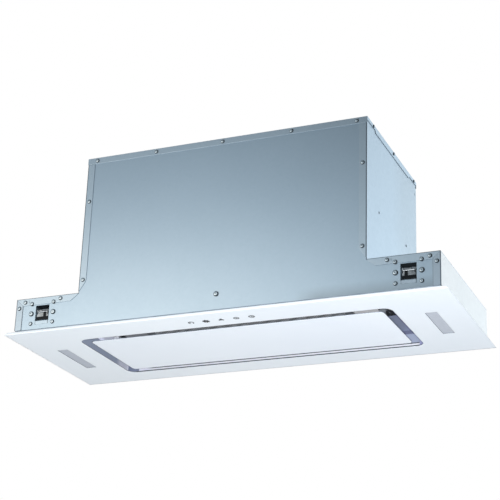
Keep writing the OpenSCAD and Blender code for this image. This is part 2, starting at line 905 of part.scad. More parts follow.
// The touch keys' board on the pads
module touch_board() {
    color("#2f7a4d")
    slab([-(keys * key_pitch) / 2 - 4, key_y - 7, panel_t + pad_h],
        [(keys * key_pitch) / 2 + 4, key_y + 7, panel_t + pad_h + 1.6]);
}

// Outline of the scroll and its duct, in y and z from the shaft, grown by grow
module scroll_outline(grow) {
    steps = 38;
    first = tongue_a + 3 * grow / (grow + 1);
    polygon(concat(
        [for (i = [0:steps])
            let (a = first + (360 - first) * i / steps)
                (scroll_r(a) + grow) * [cos(a), sin(a)]],
        [[scroll_end + grow, outlet_rise], [scroll_end - 2 * collar_r - grow, outlet_rise]]));
}

// The sheet wound round the impeller, open at the top
module blower_scroll() {
    color("#c6ced5")
    translate([0, axis_y, axis_z])
        wall_yz(-blower_l / 2, blower_l)
            difference() {
                scroll_outline(ht);
                scroll_outline(0);
                // Open mouth under the outlet
                translate([scroll_end - 2 * collar_r, outlet_rise - 1])
                    square([2 * collar_r, 2]);
            }
}

// Right side plate of the blower, with its inlet
module blower_side() {
    color("#bcc5cd")
    translate([0, axis_y, axis_z])
        difference() {
            wall_yz(blower_l / 2, ht)
                scroll_outline(side_margin);
            translate([blower_l / 2 - 1, 0, 0])
                rotate([0, 90, 0])
                    cylinder(r = inlet_r, h = 3);
            // Holes for the motor bracket's screws
            for (a = arm_a)
                translate([blower_l / 2 - 1, bush_at * cos(a), bush_at * sin(a)])
                    rotate([0, 90, 0])
                        cylinder(r = shank_r + fit, h = 3);
        }
}

// Right inlet ring: a flange on the side plate and a lip that leads the air in
module inlet_ring() {
    color("#3c4147")
    translate([blower_l / 2 + ht, axis_y, axis_z])
        rotate([0, 90, 0])
            rotate_extrude()
                polygon([[inlet_r - 2.2, -9], [inlet_r - 0.7, -9], [inlet_r - 0.7, 0], [ring_r, 0],
                    [ring_r, 2], [inlet_r + 5, 3.5], [inlet_r + 1, 2.6], [inlet_r - 1.4, 0],
                    [inlet_r - 2.2, -3]]);
}

// The impeller: blades between end rings, a middle disc and a hub
module impeller() {
    color("#53595f")
    translate([0, axis_y, axis_z])
        difference() {
            union() {
                wall_yz(-impeller_l / 2, impeller_l)
                    for (i = [0:blades - 1])
                        rotate(i * 360 / blades)
                            translate([blade_in + 1, 0])
                                rotate(28)
                                    square([impeller_r - blade_in - 2, 1.3]);
                for (x = [-impeller_l / 2, impeller_l / 2 - ring_t])
                    wall_yz(x, ring_t)
                        difference() {
                            circle(impeller_r, $fn = 96);
                            circle(blade_in, $fn = 96);
                        }
                wall_yz(disc_x, ring_t)
                    circle(impeller_r, $fn = 96);
                wall_yz(hub_x, hub_l)
                    circle(hub_r);
            }
            translate([hub_x - 1, 0, 0])
                rotate([0, 90, 0])
                    cylinder(r = shaft_r + run / 2, h = hub_l + 2);
        }
}

// The motor: a round body inside the impeller, with a boss to its bracket
module motor() {
    color("#aab0b5")
    translate([0, axis_y, axis_z])
        difference() {
            rotate([0, 90, 0])
                rotate_extrude()
                    polygon([[0, bracket_x + bracket_t], [motor_neck_r, bracket_x + bracket_t],
                        [motor_neck_r, motor_back],
                        [motor_r - 3, motor_back], [motor_r, motor_back + 3], [motor_r, motor_x - 3],
                        [motor_r - 3, motor_x], [0, motor_x]]);
            translate([motor_x - shaft_in - 1, 0, 0])
                rotate([0, 90, 0])
                    cylinder(r = shaft_r + run, h = shaft_in + 2);
        }
}

// The motor's shaft, in the impeller's hub
module motor_shaft() {
    color("#d8dcdf")
    translate([motor_x - shaft_in, axis_y, axis_z])
        rotate([0, 90, 0])
            cylinder(r = shaft_r, h = shaft_in - motor_x + shaft_end);
}

// Three arms that carry the motor on the left side plate
module motor_bracket() {
    color("#9aa3ab")
    translate([0, axis_y, axis_z])
        difference() {
            wall_yz(bracket_x, bracket_t) {
                circle(motor_neck_r + 6);
                for (a = arm_a)
                    rotate(a) {
                        translate([0, -bush_r])
                            square([bush_at, 2 * bush_r]);
                        translate([bush_at, 0])
                            circle(bush_r + 2);
                    }
            }
            for (a = arm_a)
                translate([bracket_x - 1, bush_at * cos(a), bush_at * sin(a)])
                    rotate([0, 90, 0])
                        cylinder(r = shank_r + fit, h = bracket_t + 2);
        }
}

// Rubber bushes between the bracket's arms and the side plate
module motor_bushes() {
    color("#26282a")
    translate([0, axis_y, axis_z])
        for (a = arm_a)
            translate([bracket_x + bracket_t, bush_at * cos(a), bush_at * sin(a)])
                rotate([0, 90, 0])
                    difference() {
                        cylinder(r = bush_r, h = bush_l);
                        translate([0, 0, -1])
                            cylinder(r = shank_r + fit, h = bush_l + 2);
                    }
}

collar_in = collar_r - collar_t;
flap_t = 1.5;
flap_r = collar_in - 1.2;
knuckle_r = flap_pin_r + 1.5;

// The duct collar with its flange and the ledge that the flaps lie on
module outlet_collar() {
    color("#33373b")
    translate([0, outlet_y, top_z])
        difference() {
            union() {
                cylinder(r = collar_r, h = collar_h, $fn = 96);
                cylinder(r = collar_r + collar_lip, h = collar_foot, $fn = 96);
            }
            translate([0, 0, -1])
                cylinder(r = collar_in - 2.5, h = collar_h + 2, $fn = 96);
            translate([0, 0, flap_z - flap_t / 2 - rest])
                cylinder(r = collar_in, h = collar_h, $fn = 96);
            // Room for the knuckles at the ends of the pin
            translate([-collar_in, -knuckle_r - 1, flap_z - knuckle_r - 1])
                cube([2 * collar_in, 2 * knuckle_r + 2, 2 * knuckle_r]);
            translate([-collar_r - 1, 0, flap_z])
                rotate([0, 90, 0])
                    cylinder(r = flap_pin_r + run / 2, h = 2 * collar_r + 2);
            for (a = [45:90:315])
                translate([collar_screw_r * cos(a), collar_screw_r * sin(a), -1])
                    cylinder(r = shank_r + fit, h = collar_foot + 2);
        }
}

// A damper flap for end -1 (front) or 1 (back), with its knuckles on the pin
module damper_flap(end) {
    segment = 24;
    first = end < 0 ? 0 : 1;
    color("#44494e")
    translate([0, outlet_y, top_z + flap_z])
        turn_back(end)
            difference() {
                union() {
                    translate([0, 0, -flap_t / 2])
                        linear_extrude(flap_t)
                            intersection() {
                                circle(flap_r, $fn = 96);
                                translate([-flap_r, -flap_r])
                                    square([2 * flap_r, flap_r - knuckle_r - 0.6]);
                            }
                    for (i = [first:2:3])
                        translate([(i - 2) * segment + 0.3, 0, 0]) {
                            rotate([0, 90, 0])
                                cylinder(r = knuckle_r, h = segment - 0.6);
                            slab([0, -knuckle_r - 2, -flap_t / 2], [segment - 0.6, 0, flap_t / 2]);
                        }
                }
                translate([-flap_r, 0, 0])
                    rotate([0, 90, 0])
                        cylinder(r = flap_pin_r + run, h = 2 * flap_r);
            }
}

// The pin that both flaps turn on
module damper_pin() {
    color("#c3c9cf")
    translate([-collar_r, outlet_y, top_z + flap_z])
        rotate([0, 90, 0])
            cylinder(r = flap_pin_r, h = 2 * collar_r);
}

// The electrics box on the left side panel, open to the middle
module electrics_box() {
    x0 = -box_w / 2 + ht;
    color("#e8e9e6")
    difference() {
        slab([x0, ebox_y - ebox_d / 2, ebox_z], [x0 + ebox_w, ebox_y + ebox_d / 2, ebox_z + ebox_h]);
        slab([x0 + ebox_wall, ebox_y - ebox_d / 2 + ebox_wall, ebox_z + ebox_wall],
            [x0 + ebox_w + 1, ebox_y + ebox_d / 2 - ebox_wall, ebox_z + ebox_h - ebox_wall]);
    }
}

// The lid of the electrics box
module electrics_cover() {
    x0 = -box_w / 2 + ht + ebox_w;
    color("#dcdeda")
    slab([x0, ebox_y - ebox_d / 2, ebox_z], [x0 + ebox_wall, ebox_y + ebox_d / 2, ebox_z + ebox_h]);
}

// The motor's run capacitor on the box's floor
module capacitor() {
    r = ebox_w / 4;
    length = ebox_d * 0.6;
    color("#f2f2ee")
    translate([-box_w / 2 + ht + ebox_w * 0.45, ebox_y - length / 2, ebox_z + ebox_wall + r])
        rotate([-90, 0, 0])
            cylinder(r = r, h = length);
}

// The terminal block on the box's back wall
module terminal_block() {
    ways = 3;
    way_r = 3;
    pitch = 18;
    depth = 20;
    height = 22;
    x0 = -box_w / 2 + ht + ebox_wall;
    z0 = ebox_z + ebox_h - height - 18;
    length = ways * pitch + way_r;
    color("#f4f1e4")
    difference() {
        slab([x0, ebox_y - length / 2, z0], [x0 + depth, ebox_y + length / 2, z0 + height]);
        for (i = [0:ways - 1])
            translate([x0 + depth * 0.4, ebox_y + (i - (ways - 1) / 2) * pitch, z0 + height / 2])
                rotate([0, 90, 0])
                    cylinder(r = way_r, h = depth);
    }
}

// The mains cable's gland through the top cover, with its nut below
module cable_gland() {
    hex_r = cable_r + 2 * gland_wall;
    hex_h = 5;
    cap_h = 14;
    tail = 12;
    color("#4a4e52")
    translate([gland_x, gland_y, top_z])
        difference() {
            union() {
                translate([0, 0, -tail])
                    cylinder(r = cable_r + gland_wall, h = tail + cap_h - 4);
                cylinder(r = hex_r, h = hex_h, $fn = 6);
                translate([0, 0, cap_h - 4])
                    cylinder(r = cable_r + gland_wall - 1, h = 4);
                translate([0, 0, -ht - 4])
                    cylinder(r = hex_r, h = 4, $fn = 6);
            }
            translate([0, 0, -tail - 1])
                cylinder(r = cable_r, h = tail + cap_h + 2);
        }
}

// One clip's cage behind the front sheet: a riveted plate, two cheeks and a back
module clip_cage() {
    y0 = face_y + 2 * ht;
    plate_z = rivet_dz / 2 + 5;
    color("#7d8790")
    translate([clip_x, 0, 0])
        difference() {
            union() {
                slab([-rivet_dx / 2 - 6, y0, clip_z - plate_z],
                    [rivet_dx / 2 + 6, y0 + cage_t, clip_z + plate_z]);
                for (i = [-1, 1])
                    slab([i > 0 ? cage_w / 2 : -cage_w / 2 - cage_t, y0, window_low],
                        [i > 0 ? cage_w / 2 + cage_t : -cage_w / 2, y0 + cage_d, window_low + window_h]);
                slab([-cage_w / 2, y0 + cage_d - cage_t, window_low],
                    [cage_w / 2, y0 + cage_d, window_low + window_h]);
            }
            slab([-window_w / 2, y0 - 1, window_low], [window_w / 2, y0 + cage_t + 1, window_low + window_h]);
            for (i = [-1, 1], j = [-1, 0, 1])
                translate([i * rivet_dx / 2, y0 + cage_t + 1, clip_z + j * rivet_dz / 2])
                    rotate([90, 0, 0])
                        cylinder(r = shank_r + fit, h = cage_t + 2);
            translate([-cage_w / 2 - 5, claw_y + 1, claw_z])
                rotate([0, 90, 0])
                    cylinder(r = claw_pin_r + run / 2, h = cage_w + 10);
        }
}

module clip_cages() {
    for (s = [-1, 1], e = [-1, 1])
        hand(s)
            turn_back(e)
                clip_cage();
}

eye = claw_pin_r + 1.6;
claw_front = -eye + 0.2;
web_top = -claw_l / 2 + 1;

// The claw's arm from the side: a web with a nose that is turned in
module claw_arm() {
    polygon([[claw_front, web_top], [claw_front + claw_t, web_top],
        [claw_front + claw_t, -claw_l + 4.2], [4, -claw_l + 5.5], [4, -claw_l + 4],
        [claw_front + 1, -claw_l + 1], [claw_front, -claw_l + 3]]);
}

// A claw: its arm hangs on two cheeks and a rib that turn on the pin
module clip_claw() {
    color("#aeb5bb")
    translate([clip_x, claw_y + 1, claw_z])
        difference() {
            union() {
                for (x = [-claw_w / 2, claw_w / 2 - 2])
                    wall_yz(x, 2) {
                        circle(eye);
                        polygon([[claw_front, -0.5], [eye - 0.4, -0.5], [3.4, -claw_l + 5],
                            [claw_front, -claw_l + 3.5]]);
                    }
                wall_yz(-claw_w / 2, claw_w)
                    claw_arm();
                // Rib in the middle, up to the pin
                wall_yz(3, 1.5) {
                    circle(eye - 0.3);
                    polygon([[claw_front + 0.3, -1], [eye - 0.6, -1], [3, -claw_l + 4.8],
                        [claw_front + 0.3, -claw_l + 4]]);
                }
            }
            translate([-claw_w, 0, 0])
                rotate([0, 90, 0])
                    cylinder(r = claw_pin_r + run, h = 2 * claw_w);
        }
}

// The claws' pins, across the cages
module clip_pins() {
    color("#d8dde1")
    for (s = [-1, 1], e = [-1, 1])
        hand(s)
            turn_back(e)
                translate([clip_x - cage_w / 2 - cage_t - 0.5, claw_y + 1, claw_z])
                    rotate([0, 90, 0])
                        cylinder(r = claw_pin_r, h = cage_w + 2 * cage_t + 1);
}

spring_wire = 0.6;
spring_pitch = 2;
spring_r = claw_pin_r + spring_wire + 0.3;
spring_steps = 38;
spring_in = -90;
spring_out = -1811;

// A point of the spring's wire: its middle at step i, moved by u outward and v along the pin
function spring_point(i, u, v) =
    let (k = min(max(i - 1, 0), spring_steps),
        a = spring_in + (spring_out - spring_in) * k / spring_steps,
        x = (spring_in - a) / 360 * spring_pitch + v,
        leg = i == 0 ? -13 : i == spring_steps + 2 ? 13 : 0)
    [x, (spring_r + u) * cos(a) + leg * sin(a), (spring_r + u) * sin(a) - leg * cos(a)];

// Least gap between one curl and the next, measured on the wire's middle points
spring_gap = min([for (i = [1:spring_steps], j = [i + 6:1:spring_steps + 1])
    norm(spring_point(i, 0, 0) - spring_point(j, 0, 0))]) - 2 * spring_wire;
echo(spring_gap = spring_gap);

// One torsion spring: a leg on the cage, the curls round the pin and a leg on the claw
module clip_spring() {
    rings = spring_steps + 3;
    sides = 6;
    points = [for (i = [0:rings - 1], k = [0:sides - 1])
        spring_point(i, spring_wire * cos(60 * k), spring_wire * sin(60 * k))];
    walls = [for (i = [0:rings - 2], k = [0:sides - 1])
        let (n = (k + 1) % sides, a = i * sides, b = a + sides)
            each [[a + k, a + n, b + k], [a + n, b + n, b + k]]];
    last = (rings - 1) * sides;
    caps = [for (k = [1:sides - 2]) each [[0, k + 1, k], [last, last + k, last + k + 1]]];
    polyhedron(points, concat(walls, caps), convexity = 10);
}

// Torsion springs on the pins, between a claw's left cheek and its rib
module clip_springs() {
    color("#e3e7ea")
    for (s = [-1, 1], e = [-1, 1])
        hand(s)
            turn_back(e)
                translate([clip_x - claw_w / 2 + 3.6, claw_y + 1, claw_z])
                    clip_spring();
}

// All the small screws of the housing's outside
module housing_screws() {
    length = 4 * ht;
    color("#dfe4e8")
    union() {
        for (p = concat(top_screws, strip_screws, end_screws, shoulder_screws), s = [-1, 1])
            if (p[0] != 0 || s > 0)
                translate([s * p[0], face_y, p[1]])
                    rotate([90, 0, 0])
                        pan_screw(head_r, head_h, shank_r, length);
        for (p = concat(top_screws, strip_screws), s = [-1, 1])
            if (p[0] != 0 || s > 0)
                translate([s * p[0], box_back, p[1]])
                    rotate([-90, 0, 0])
                        pan_screw(head_r, head_h, shank_r, length);
        for (p = concat(end_screws, shoulder_screws), s = [-1, 1])
            translate([s * p[0], back_y, p[1]])
                rotate([-90, 0, 0])
                    pan_screw(head_r, head_h, shank_r, length);
        for (s = [-1, 1], y = side_screw_y)
            translate([s * (box_w / 2 + ht), y, side_screw_z])
                rotate([0, s * 90, 0])
                    pan_screw(head_r * 0.8, head_h, shank_r, length);
        translate([0, face_y + ht, base_h - face_screw_low])
            rotate([90, 0, 0])
                pan_screw(head_r * 1.25, head_h * 1.3, shank_r, length);
    }
}

// The rivets and the two larger studs beside each window
module clip_rivets() {
    color("#cfd5da")
    for (s = [-1, 1], e = [-1, 1])
        hand(s)
            turn_back(e)
                for (i = [-1, 1], j = [-1, 0, 1])
                    translate([clip_x + i * rivet_dx / 2, face_y + (j > 0 ? 0 : ht),
                            clip_z + j * rivet_dz / 2])
                        rotate([90, 0, 0])
                            pan_screw(j == 0 ? head_r * 1.25 : head_r, head_h, shank_r,
                                ht + cage_t + 1 + (j > 0 ? ht : 0));
}

// Screws of the collar and of the motor bracket
module inner_screws() {
    color("#cfd5da")
    union() {
        for (a = [45:90:315])
            translate([collar_screw_r * cos(a), outlet_y + collar_screw_r * sin(a),
                    top_z + collar_foot])
                pan_screw(head_r, head_h, shank_r, collar_foot + 5 * ht);
        for (a = arm_a)
            translate([bracket_x, axis_y + bush_at * cos(a), axis_z + bush_at * sin(a)])
                rotate([0, -90, 0])
                    pan_screw(head_r, head_h, shank_r, bracket_t + bush_l + 4 * ht);
    }
}

canopy_panel();
panel_seal();
front_panel();
back_panel();
hand(-1) side_panel();  // left_side_panel
side_panel();  // right_side_panel
top_cover();
hand(-1) shoulder(base_w / 2 - slot_from_end);  // left_shoulder
shoulder(box_w / 2 + slot_from_box);  // right_shoulder
hand(-1) end_wall();  // left_end_wall
end_wall();  // right_end_wall
recess_frame();
suction_plate();
plate_stiffener();
plate_hinge_brackets();
plate_hinge_ears();
plate_hinge_pins();
plate_magnets();
plate_strikers();
filter_frame();
filter_mesh();
filter_latch(-1);  // filter_latch_left
filter_latch(1);  // filter_latch_right
hand(-1) lamp_lens();  // lamp_lens_left
lamp_lens();  // lamp_lens_right
hand(-1) lamp_tray();  // lamp_tray_left
lamp_tray();  // lamp_tray_right
lamp_boards();
lamp_driver();
touch_board();
touch_pads();
blower_scroll();
hand(-1) blower_side();  // blower_side_left
blower_side();  // blower_side_right
hand(-1) inlet_ring();  // inlet_ring_left
inlet_ring();  // inlet_ring_right
impeller();
motor();
motor_shaft();
motor_bracket();
motor_bushes();
outlet_collar();
damper_flap(-1);  // damper_flap_front
damper_flap(1);  // damper_flap_back
damper_pin();
electrics_box();
electrics_cover();
capacitor();
terminal_block();
cable_gland();
clip_cages();
hand(-1) clip_claw();  // clip_claw_front_left
clip_claw();  // clip_claw_front_right
hand(-1) turn_back(1) clip_claw();  // clip_claw_back_left
turn_back(1) clip_claw();  // clip_claw_back_right
clip_pins();
clip_springs();
housing_screws();
clip_rivets();
inner_screws();
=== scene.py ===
# %% [markdown]
# A built-in canopy hood, seen from below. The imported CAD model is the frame: every sheet,
# screw and hinge already stands at its real size. This lesson gives it materials, finer
# pieces where the real hood is finer, and the light and camera of a plain studio.

# %% Load the frame
import json
import math
import bmesh
import bpy
from mathutils import Matrix, Vector


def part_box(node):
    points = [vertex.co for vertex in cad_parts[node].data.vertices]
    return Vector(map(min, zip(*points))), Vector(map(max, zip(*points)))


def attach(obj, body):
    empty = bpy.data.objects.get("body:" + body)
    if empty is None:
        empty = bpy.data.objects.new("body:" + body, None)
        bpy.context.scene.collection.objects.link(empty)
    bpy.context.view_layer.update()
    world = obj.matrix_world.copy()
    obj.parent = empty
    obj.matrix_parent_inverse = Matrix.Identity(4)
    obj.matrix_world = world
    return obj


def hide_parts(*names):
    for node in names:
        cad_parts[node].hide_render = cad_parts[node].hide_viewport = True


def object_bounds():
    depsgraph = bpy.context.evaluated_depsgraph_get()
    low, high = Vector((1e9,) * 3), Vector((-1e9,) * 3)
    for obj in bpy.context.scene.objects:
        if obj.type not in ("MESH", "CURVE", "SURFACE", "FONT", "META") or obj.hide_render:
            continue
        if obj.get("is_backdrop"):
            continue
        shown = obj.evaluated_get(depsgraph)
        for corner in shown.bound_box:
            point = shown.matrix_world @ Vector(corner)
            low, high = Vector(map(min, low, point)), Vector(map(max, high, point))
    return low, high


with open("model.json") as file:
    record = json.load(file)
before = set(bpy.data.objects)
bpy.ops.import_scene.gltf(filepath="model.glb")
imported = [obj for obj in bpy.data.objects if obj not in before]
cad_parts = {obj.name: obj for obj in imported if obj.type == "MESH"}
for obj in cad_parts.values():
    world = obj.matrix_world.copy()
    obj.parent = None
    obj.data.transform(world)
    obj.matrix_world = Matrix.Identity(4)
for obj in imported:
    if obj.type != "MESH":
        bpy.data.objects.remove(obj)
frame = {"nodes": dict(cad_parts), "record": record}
cad_low, cad_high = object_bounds()

# %% [markdown]
# The camera stands below and to the right of the hood and looks up, a little rolled.
# Its place was fitted to the straight edges of the housing. A long lens keeps the long
# sides nearly parallel, as a product photographer would.

# %% Camera
camera = bpy.data.objects.new("camera", bpy.data.cameras.new("camera"))
bpy.context.collection.objects.link(camera)
camera.data.sensor_width = 36
camera.data.lens = 104.449
camera.data.clip_end = 50
camera.matrix_world = Matrix((
    (0.9226646, 0.1145309, 0.3682021, 1.068523),
    (0.3841845, -0.3548822, -0.8523267, -2.484885),
    (0.0330506, 0.9278692, -0.3714382, -0.889018),
    (0, 0, 0, 1)))
bpy.context.scene.camera = camera
bpy.context.scene.view_settings.view_transform = "Standard"
print("camera at", [round(v, 3) for v in camera.matrix_world.translation])

# %% [markdown]
# The hood stands in a room that is white all round. Walls and big lamps could make such a
# room, but a world that is white to the camera and in reflections looks the same and adds
# no grain. As a source of light the world is dimmer, so that the lamps can still shape
# the sheets.

# %% World
world = bpy.data.worlds.new("studio")
bpy.context.scene.world = world
world.use_nodes = True
studio = world.node_tree
studio.nodes.clear()


def maths(tree, operation, *sources):
    """One Math node on the given sockets."""
    node = tree.nodes.new("ShaderNodeMath")
    node.operation = operation
    for source, socket in zip(sources, node.inputs):
        tree.links.new(source, socket)
    return node.outputs[0]


path = studio.nodes.new("ShaderNodeLightPath")
seen = maths(studio, "MAXIMUM", path.outputs["Is Camera Ray"], path.outputs["Is Glossy Ray"])
seen = maths(studio, "MAXIMUM", seen, path.outputs["Is Transmission Ray"])
shown, lighting = (studio.nodes.new("ShaderNodeBackground") for _ in range(2))
shown.inputs["Color"].default_value = (1, 1, 1, 1)
lighting.inputs["Color"].default_value = (0.99, 0.99, 1, 1)
lighting.inputs["Strength"].default_value = 0.25
mix = studio.nodes.new("ShaderNodeMixShader")
for source, socket in zip((seen, lighting.outputs[0], shown.outputs[0]), mix.inputs):
    studio.links.new(source, socket)
studio.links.new(mix.outputs[0], studio.nodes.new("ShaderNodeOutputWorld").inputs["Surface"])
print("world ready")

# %% [markdown]
# The hood hangs over the camera's head, so the floor lies far below, where it only lifts
# the shade a little. It is one pale square. The two helpers that make it, one for a mesh
# and one for an object that rides on a body, are used by every later piece.

# %% Floor


def link(name, mesh, body=None):
    """A new object with this mesh, which rides on a body when one is named."""
    made = bpy.data.objects.new(name, mesh)
    bpy.context.collection.objects.link(made)
    if body:
        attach(made, body)
    return made


def plain_mesh(name, points, faces):
    """A mesh from corner points in metres and faces that point outwards."""
    mesh = bpy.data.meshes.new(name)
    mesh.from_pydata(points, [], faces)
    mesh.update()
    return mesh


floor_half, floor_z = 9, -2.6
floor = link("floor", plain_mesh("floor", [(x * floor_half, y * floor_half, floor_z)
                                           for x, y in ((-1, -1), (1, -1), (1, 1), (-1, 1))], [(0, 1, 2, 3)]))
floor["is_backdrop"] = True
print("floor at", floor_z, "m")

# %% [markdown]
# Each finish is a small node tree. A picture of metal could be wrapped round every sheet,
# but noise that reads Object coordinates needs no wrapping and doesn't slide when a piece
# moves. The first helper makes the Principled shader with the numbers that hold all over
# the surface. Colour clouds, bumps and rounded edges are then added to it.

# %% Material helpers


def finish(name, colour, metallic=0.0, roughness=0.5, **more):
    """A material with its Principled shader. Numbers that don't vary go on its own sockets."""
    made = bpy.data.materials.new(name)
    made.use_nodes = True
    shader = made.node_tree.nodes["Principled BSDF"]
    shader.inputs["Base Color"].default_value = (*colour, 1)
    shader.inputs["Metallic"].default_value = metallic
    shader.inputs["Roughness"].default_value = roughness
    for socket, value in more.items():
        shader.inputs[socket.replace("_", " ")].default_value = value
    return made


def coordinate(tree, axis):
    """One Object coordinate of the point that is shaded, in metres."""
    place = tree.nodes.new("ShaderNodeTexCoord")
    parts = tree.nodes.new("ShaderNodeSeparateXYZ")
    tree.links.new(place.outputs["Object"], parts.inputs["Vector"])
    return parts.outputs[axis]


def noise(tree, scale, detail=2.0):
    """Noise on Object coordinates, from 0 to 1."""
    place = tree.nodes.new("ShaderNodeTexCoord")
    made = tree.nodes.new("ShaderNodeTexNoise")
    made.inputs["Scale"].default_value = scale
    made.inputs["Detail"].default_value = detail
    tree.links.new(place.outputs["Object"], made.inputs["Vector"])
    return made.outputs["Fac"]


def ramp(tree, source, low, high, start=0.3, end=0.7):
    """Turns a 0 to 1 value into a colour between two colours."""
    made = tree.nodes.new("ShaderNodeValToRGB")
    for element, position, colour in zip(made.color_ramp.elements, (start, end), (low, high)):
        element.position = position
        element.color = (*colour, 1)
    tree.links.new(source, made.inputs["Fac"])
    return made.outputs["Color"]


def vary(tree, source, low, high, start=0.0, end=1.0):
    """Turns a value that runs from start to end into a number between two numbers."""
    made = tree.nodes.new("ShaderNodeMapRange")
    for label, value in (("From Min", start), ("From Max", end), ("To Min", low), ("To Max", high)):
        made.inputs[label].default_value = value
    tree.links.new(source, made.inputs["Value"])
    return made.outputs["Result"]


def surface(material, height, depth, edge):
    """Adds a bump from a height value and softly rounded edges."""
    tree = material.node_tree
    rounded = tree.nodes.new("ShaderNodeBevel")
    rounded.samples = 6
    rounded.inputs["Radius"].default_value = edge
    bump = tree.nodes.new("ShaderNodeBump")
    bump.inputs["Strength"].default_value = 1
    bump.inputs["Distance"].default_value = depth
    tree.links.new(height, bump.inputs["Height"])
    tree.links.new(rounded.outputs["Normal"], bump.inputs["Normal"])
    tree.links.new(bump.outputs["Normal"], tree.nodes["Principled BSDF"].inputs["Normal"])
    return material


floor.data.materials.append(finish("floor_pale", (0.86, 0.88, 0.9), roughness=0.8))
print("material helpers ready")

# %% [markdown]
# Galvanised sheet shows flat zinc crystals: patches a few millimetres wide, each a little
# lighter or darker and a little smoother or rougher than the next. A Voronoi pattern gives
# each patch one value, and a slow noise adds the clouds that rolling leaves. On this hood
# the zinc is even, so the two colours lie close together.

# %% Galvanised sheet


def galvanised(name, dark, light, roughness=0.36, metallic=0.95, edge=0.0011):
    """Zinc crystals and slow clouds between two colours, with a bent sheet's round edges."""
    made = finish(name, light, metallic=metallic, roughness=roughness)
    tree = made.node_tree
    shader = tree.nodes["Principled BSDF"]
    place = tree.nodes.new("ShaderNodeTexCoord")
    crystals = tree.nodes.new("ShaderNodeTexVoronoi")
    crystals.inputs["Scale"].default_value = 170
    tree.links.new(place.outputs["Object"], crystals.inputs["Vector"])
    patch = tree.nodes.new("ShaderNodeSeparateColor")
    tree.links.new(crystals.outputs["Color"], patch.inputs["Color"])
    both = tree.nodes.new("ShaderNodeMix")
    both.inputs["Factor"].default_value = 0.75
    tree.links.new(patch.outputs["Red"], both.inputs["A"])
    tree.links.new(noise(tree, 7, 3), both.inputs["B"])
    tree.links.new(ramp(tree, both.outputs["Result"], dark, light, 0.15, 0.85), shader.inputs["Base Color"])
    tree.links.new(vary(tree, patch.outputs["Green"], roughness - 0.02, roughness + 0.02),
                   shader.inputs["Roughness"])
    return surface(made, noise(tree, 420, 2), 0.000004, edge)


print("zinc: crystals of about", round(1000 / 170, 1), "mm")

# %% [markdown]
# A folded sheet under light isn't one tone. Bends, hems and cut edges show thin dark lines of
# shade, and a sheet that lies in shade is darker. Lines this thin would need many more faces, so
# this light and shade are painted into the colour instead: a mask is 1 inside a box of Object
# coordinates and fades out over a short way, and the mask mixes the painted tone in.

# %% Tones at set places


def mix_in(material, mask, colour):
    """Lays a colour, plain or from a socket, over the finish's own as far as the mask says."""
    tree = material.node_tree
    base = tree.nodes["Principled BSDF"].inputs["Base Color"]
    both = tree.nodes.new("ShaderNodeMix")
    both.data_type = "RGBA"
    own, other = both.inputs[6], both.inputs[7]
    tree.links.new(mask, both.inputs["Factor"])
    tree.links.new(base.links[0].from_socket, own)
    if isinstance(colour, bpy.types.NodeSocket):
        tree.links.new(colour, other)
    else:
        other.default_value = (*colour, 1)
    tree.links.new(both.outputs[2], base)
    return material


def within(tree, axis, low, high, soft):
    """1 where an Object coordinate lies between two values and 0 elsewhere. |X| is X without its sign."""
    value = coordinate(tree, axis.strip("|"))
    if axis.startswith("|"):
        value = maths(tree, "ABSOLUTE", value)
    return maths(tree, "MULTIPLY", vary(tree, value, 0, 1, low - soft, low),
                 vary(tree, value, 1, 0, high, high + soft))


def toned(material, colour, *ranges, soft=0.0003, amount=1.0):
    """Mixes a tone into the colour where every coordinate lies in its range."""
    tree = material.node_tree
    mask = within(tree, *ranges[0], soft)
    for limits in ranges[1:]:
        mask = maths(tree, "MULTIPLY", mask, within(tree, *limits, soft))
    return mix_in(material, vary(tree, mask, 0, amount), colour)


print("tones ready")

# %% [markdown]
# The housing is folded from one kind of sheet, so all its finishes start from almost the
# same two zinc tones. A single finish would be simpler, but each sheet has painted lines of
# its own: painted shade along the bends, along the cut edges that face the viewer and at the
# ends of the pressed lips under the windows, and slow painted shade on wide sheets. The end
# walls are painted pale outside, a painted reflection of the bright side of the studio.

# %% Sheets of the housing
face, box_side, base_side = -0.1655, 0.296, 0.434
everywhere = 1
zinc_tones = (0.315, 0.402, 0.478), (0.335, 0.424, 0.502)
zinc = galvanised("zinc_sheet", *zinc_tones)

zinc_side = galvanised("zinc_sheet_side", *zinc_tones)
# Painted shade: a dark line along the bend at each front corner of the side panels.
toned(zinc_side, (0.09, 0.12, 0.15), ("|X|", box_side - 0.0014, everywhere),
      ("Y", -everywhere, face + 0.0022))
# Painted shade: the side panels a little darker high up and towards the back.
toned(zinc_side, (0.24, 0.27, 0.28), ("Y", 0.07, everywhere), ("Z", 0.2, everywhere), soft=0.08, amount=0.22)

zinc_end = galvanised("zinc_sheet_end", *zinc_tones)
end_tree, end_face = zinc_end.node_tree, base_side - 0.0004
# Painted reflection: the end walls' outer faces are pale zinc, for the bright side of the studio that they
# mirror.
mix_in(zinc_end, vary(end_tree, maths(end_tree, "ABSOLUTE", coordinate(end_tree, "X")), 0, 1,
                      end_face - 0.0003, end_face),
       ramp(end_tree, noise(end_tree, 6, 2), (0.464, 0.474, 0.482), (0.497, 0.503, 0.505)))
flange_in = 0.4203
# The front flanges are a little darker. Painted shade: a dark line along their inner edge and one along the
# bend at the outer corner.
toned(zinc_end, (0.235, 0.285, 0.345), ("|X|", flange_in, base_side), ("Y", -everywhere, face + 0.0002),
      soft=0.0006, amount=0.3)
toned(zinc_end, (0.19, 0.235, 0.28), ("|X|", flange_in - 0.0013, flange_in - 0.0004),
      ("Y", -everywhere, face + 0.0009))
toned(zinc_end, (0.09, 0.11, 0.135), ("|X|", base_side - 0.0013, everywhere),
      ("Y", -everywhere, face + 0.0024))

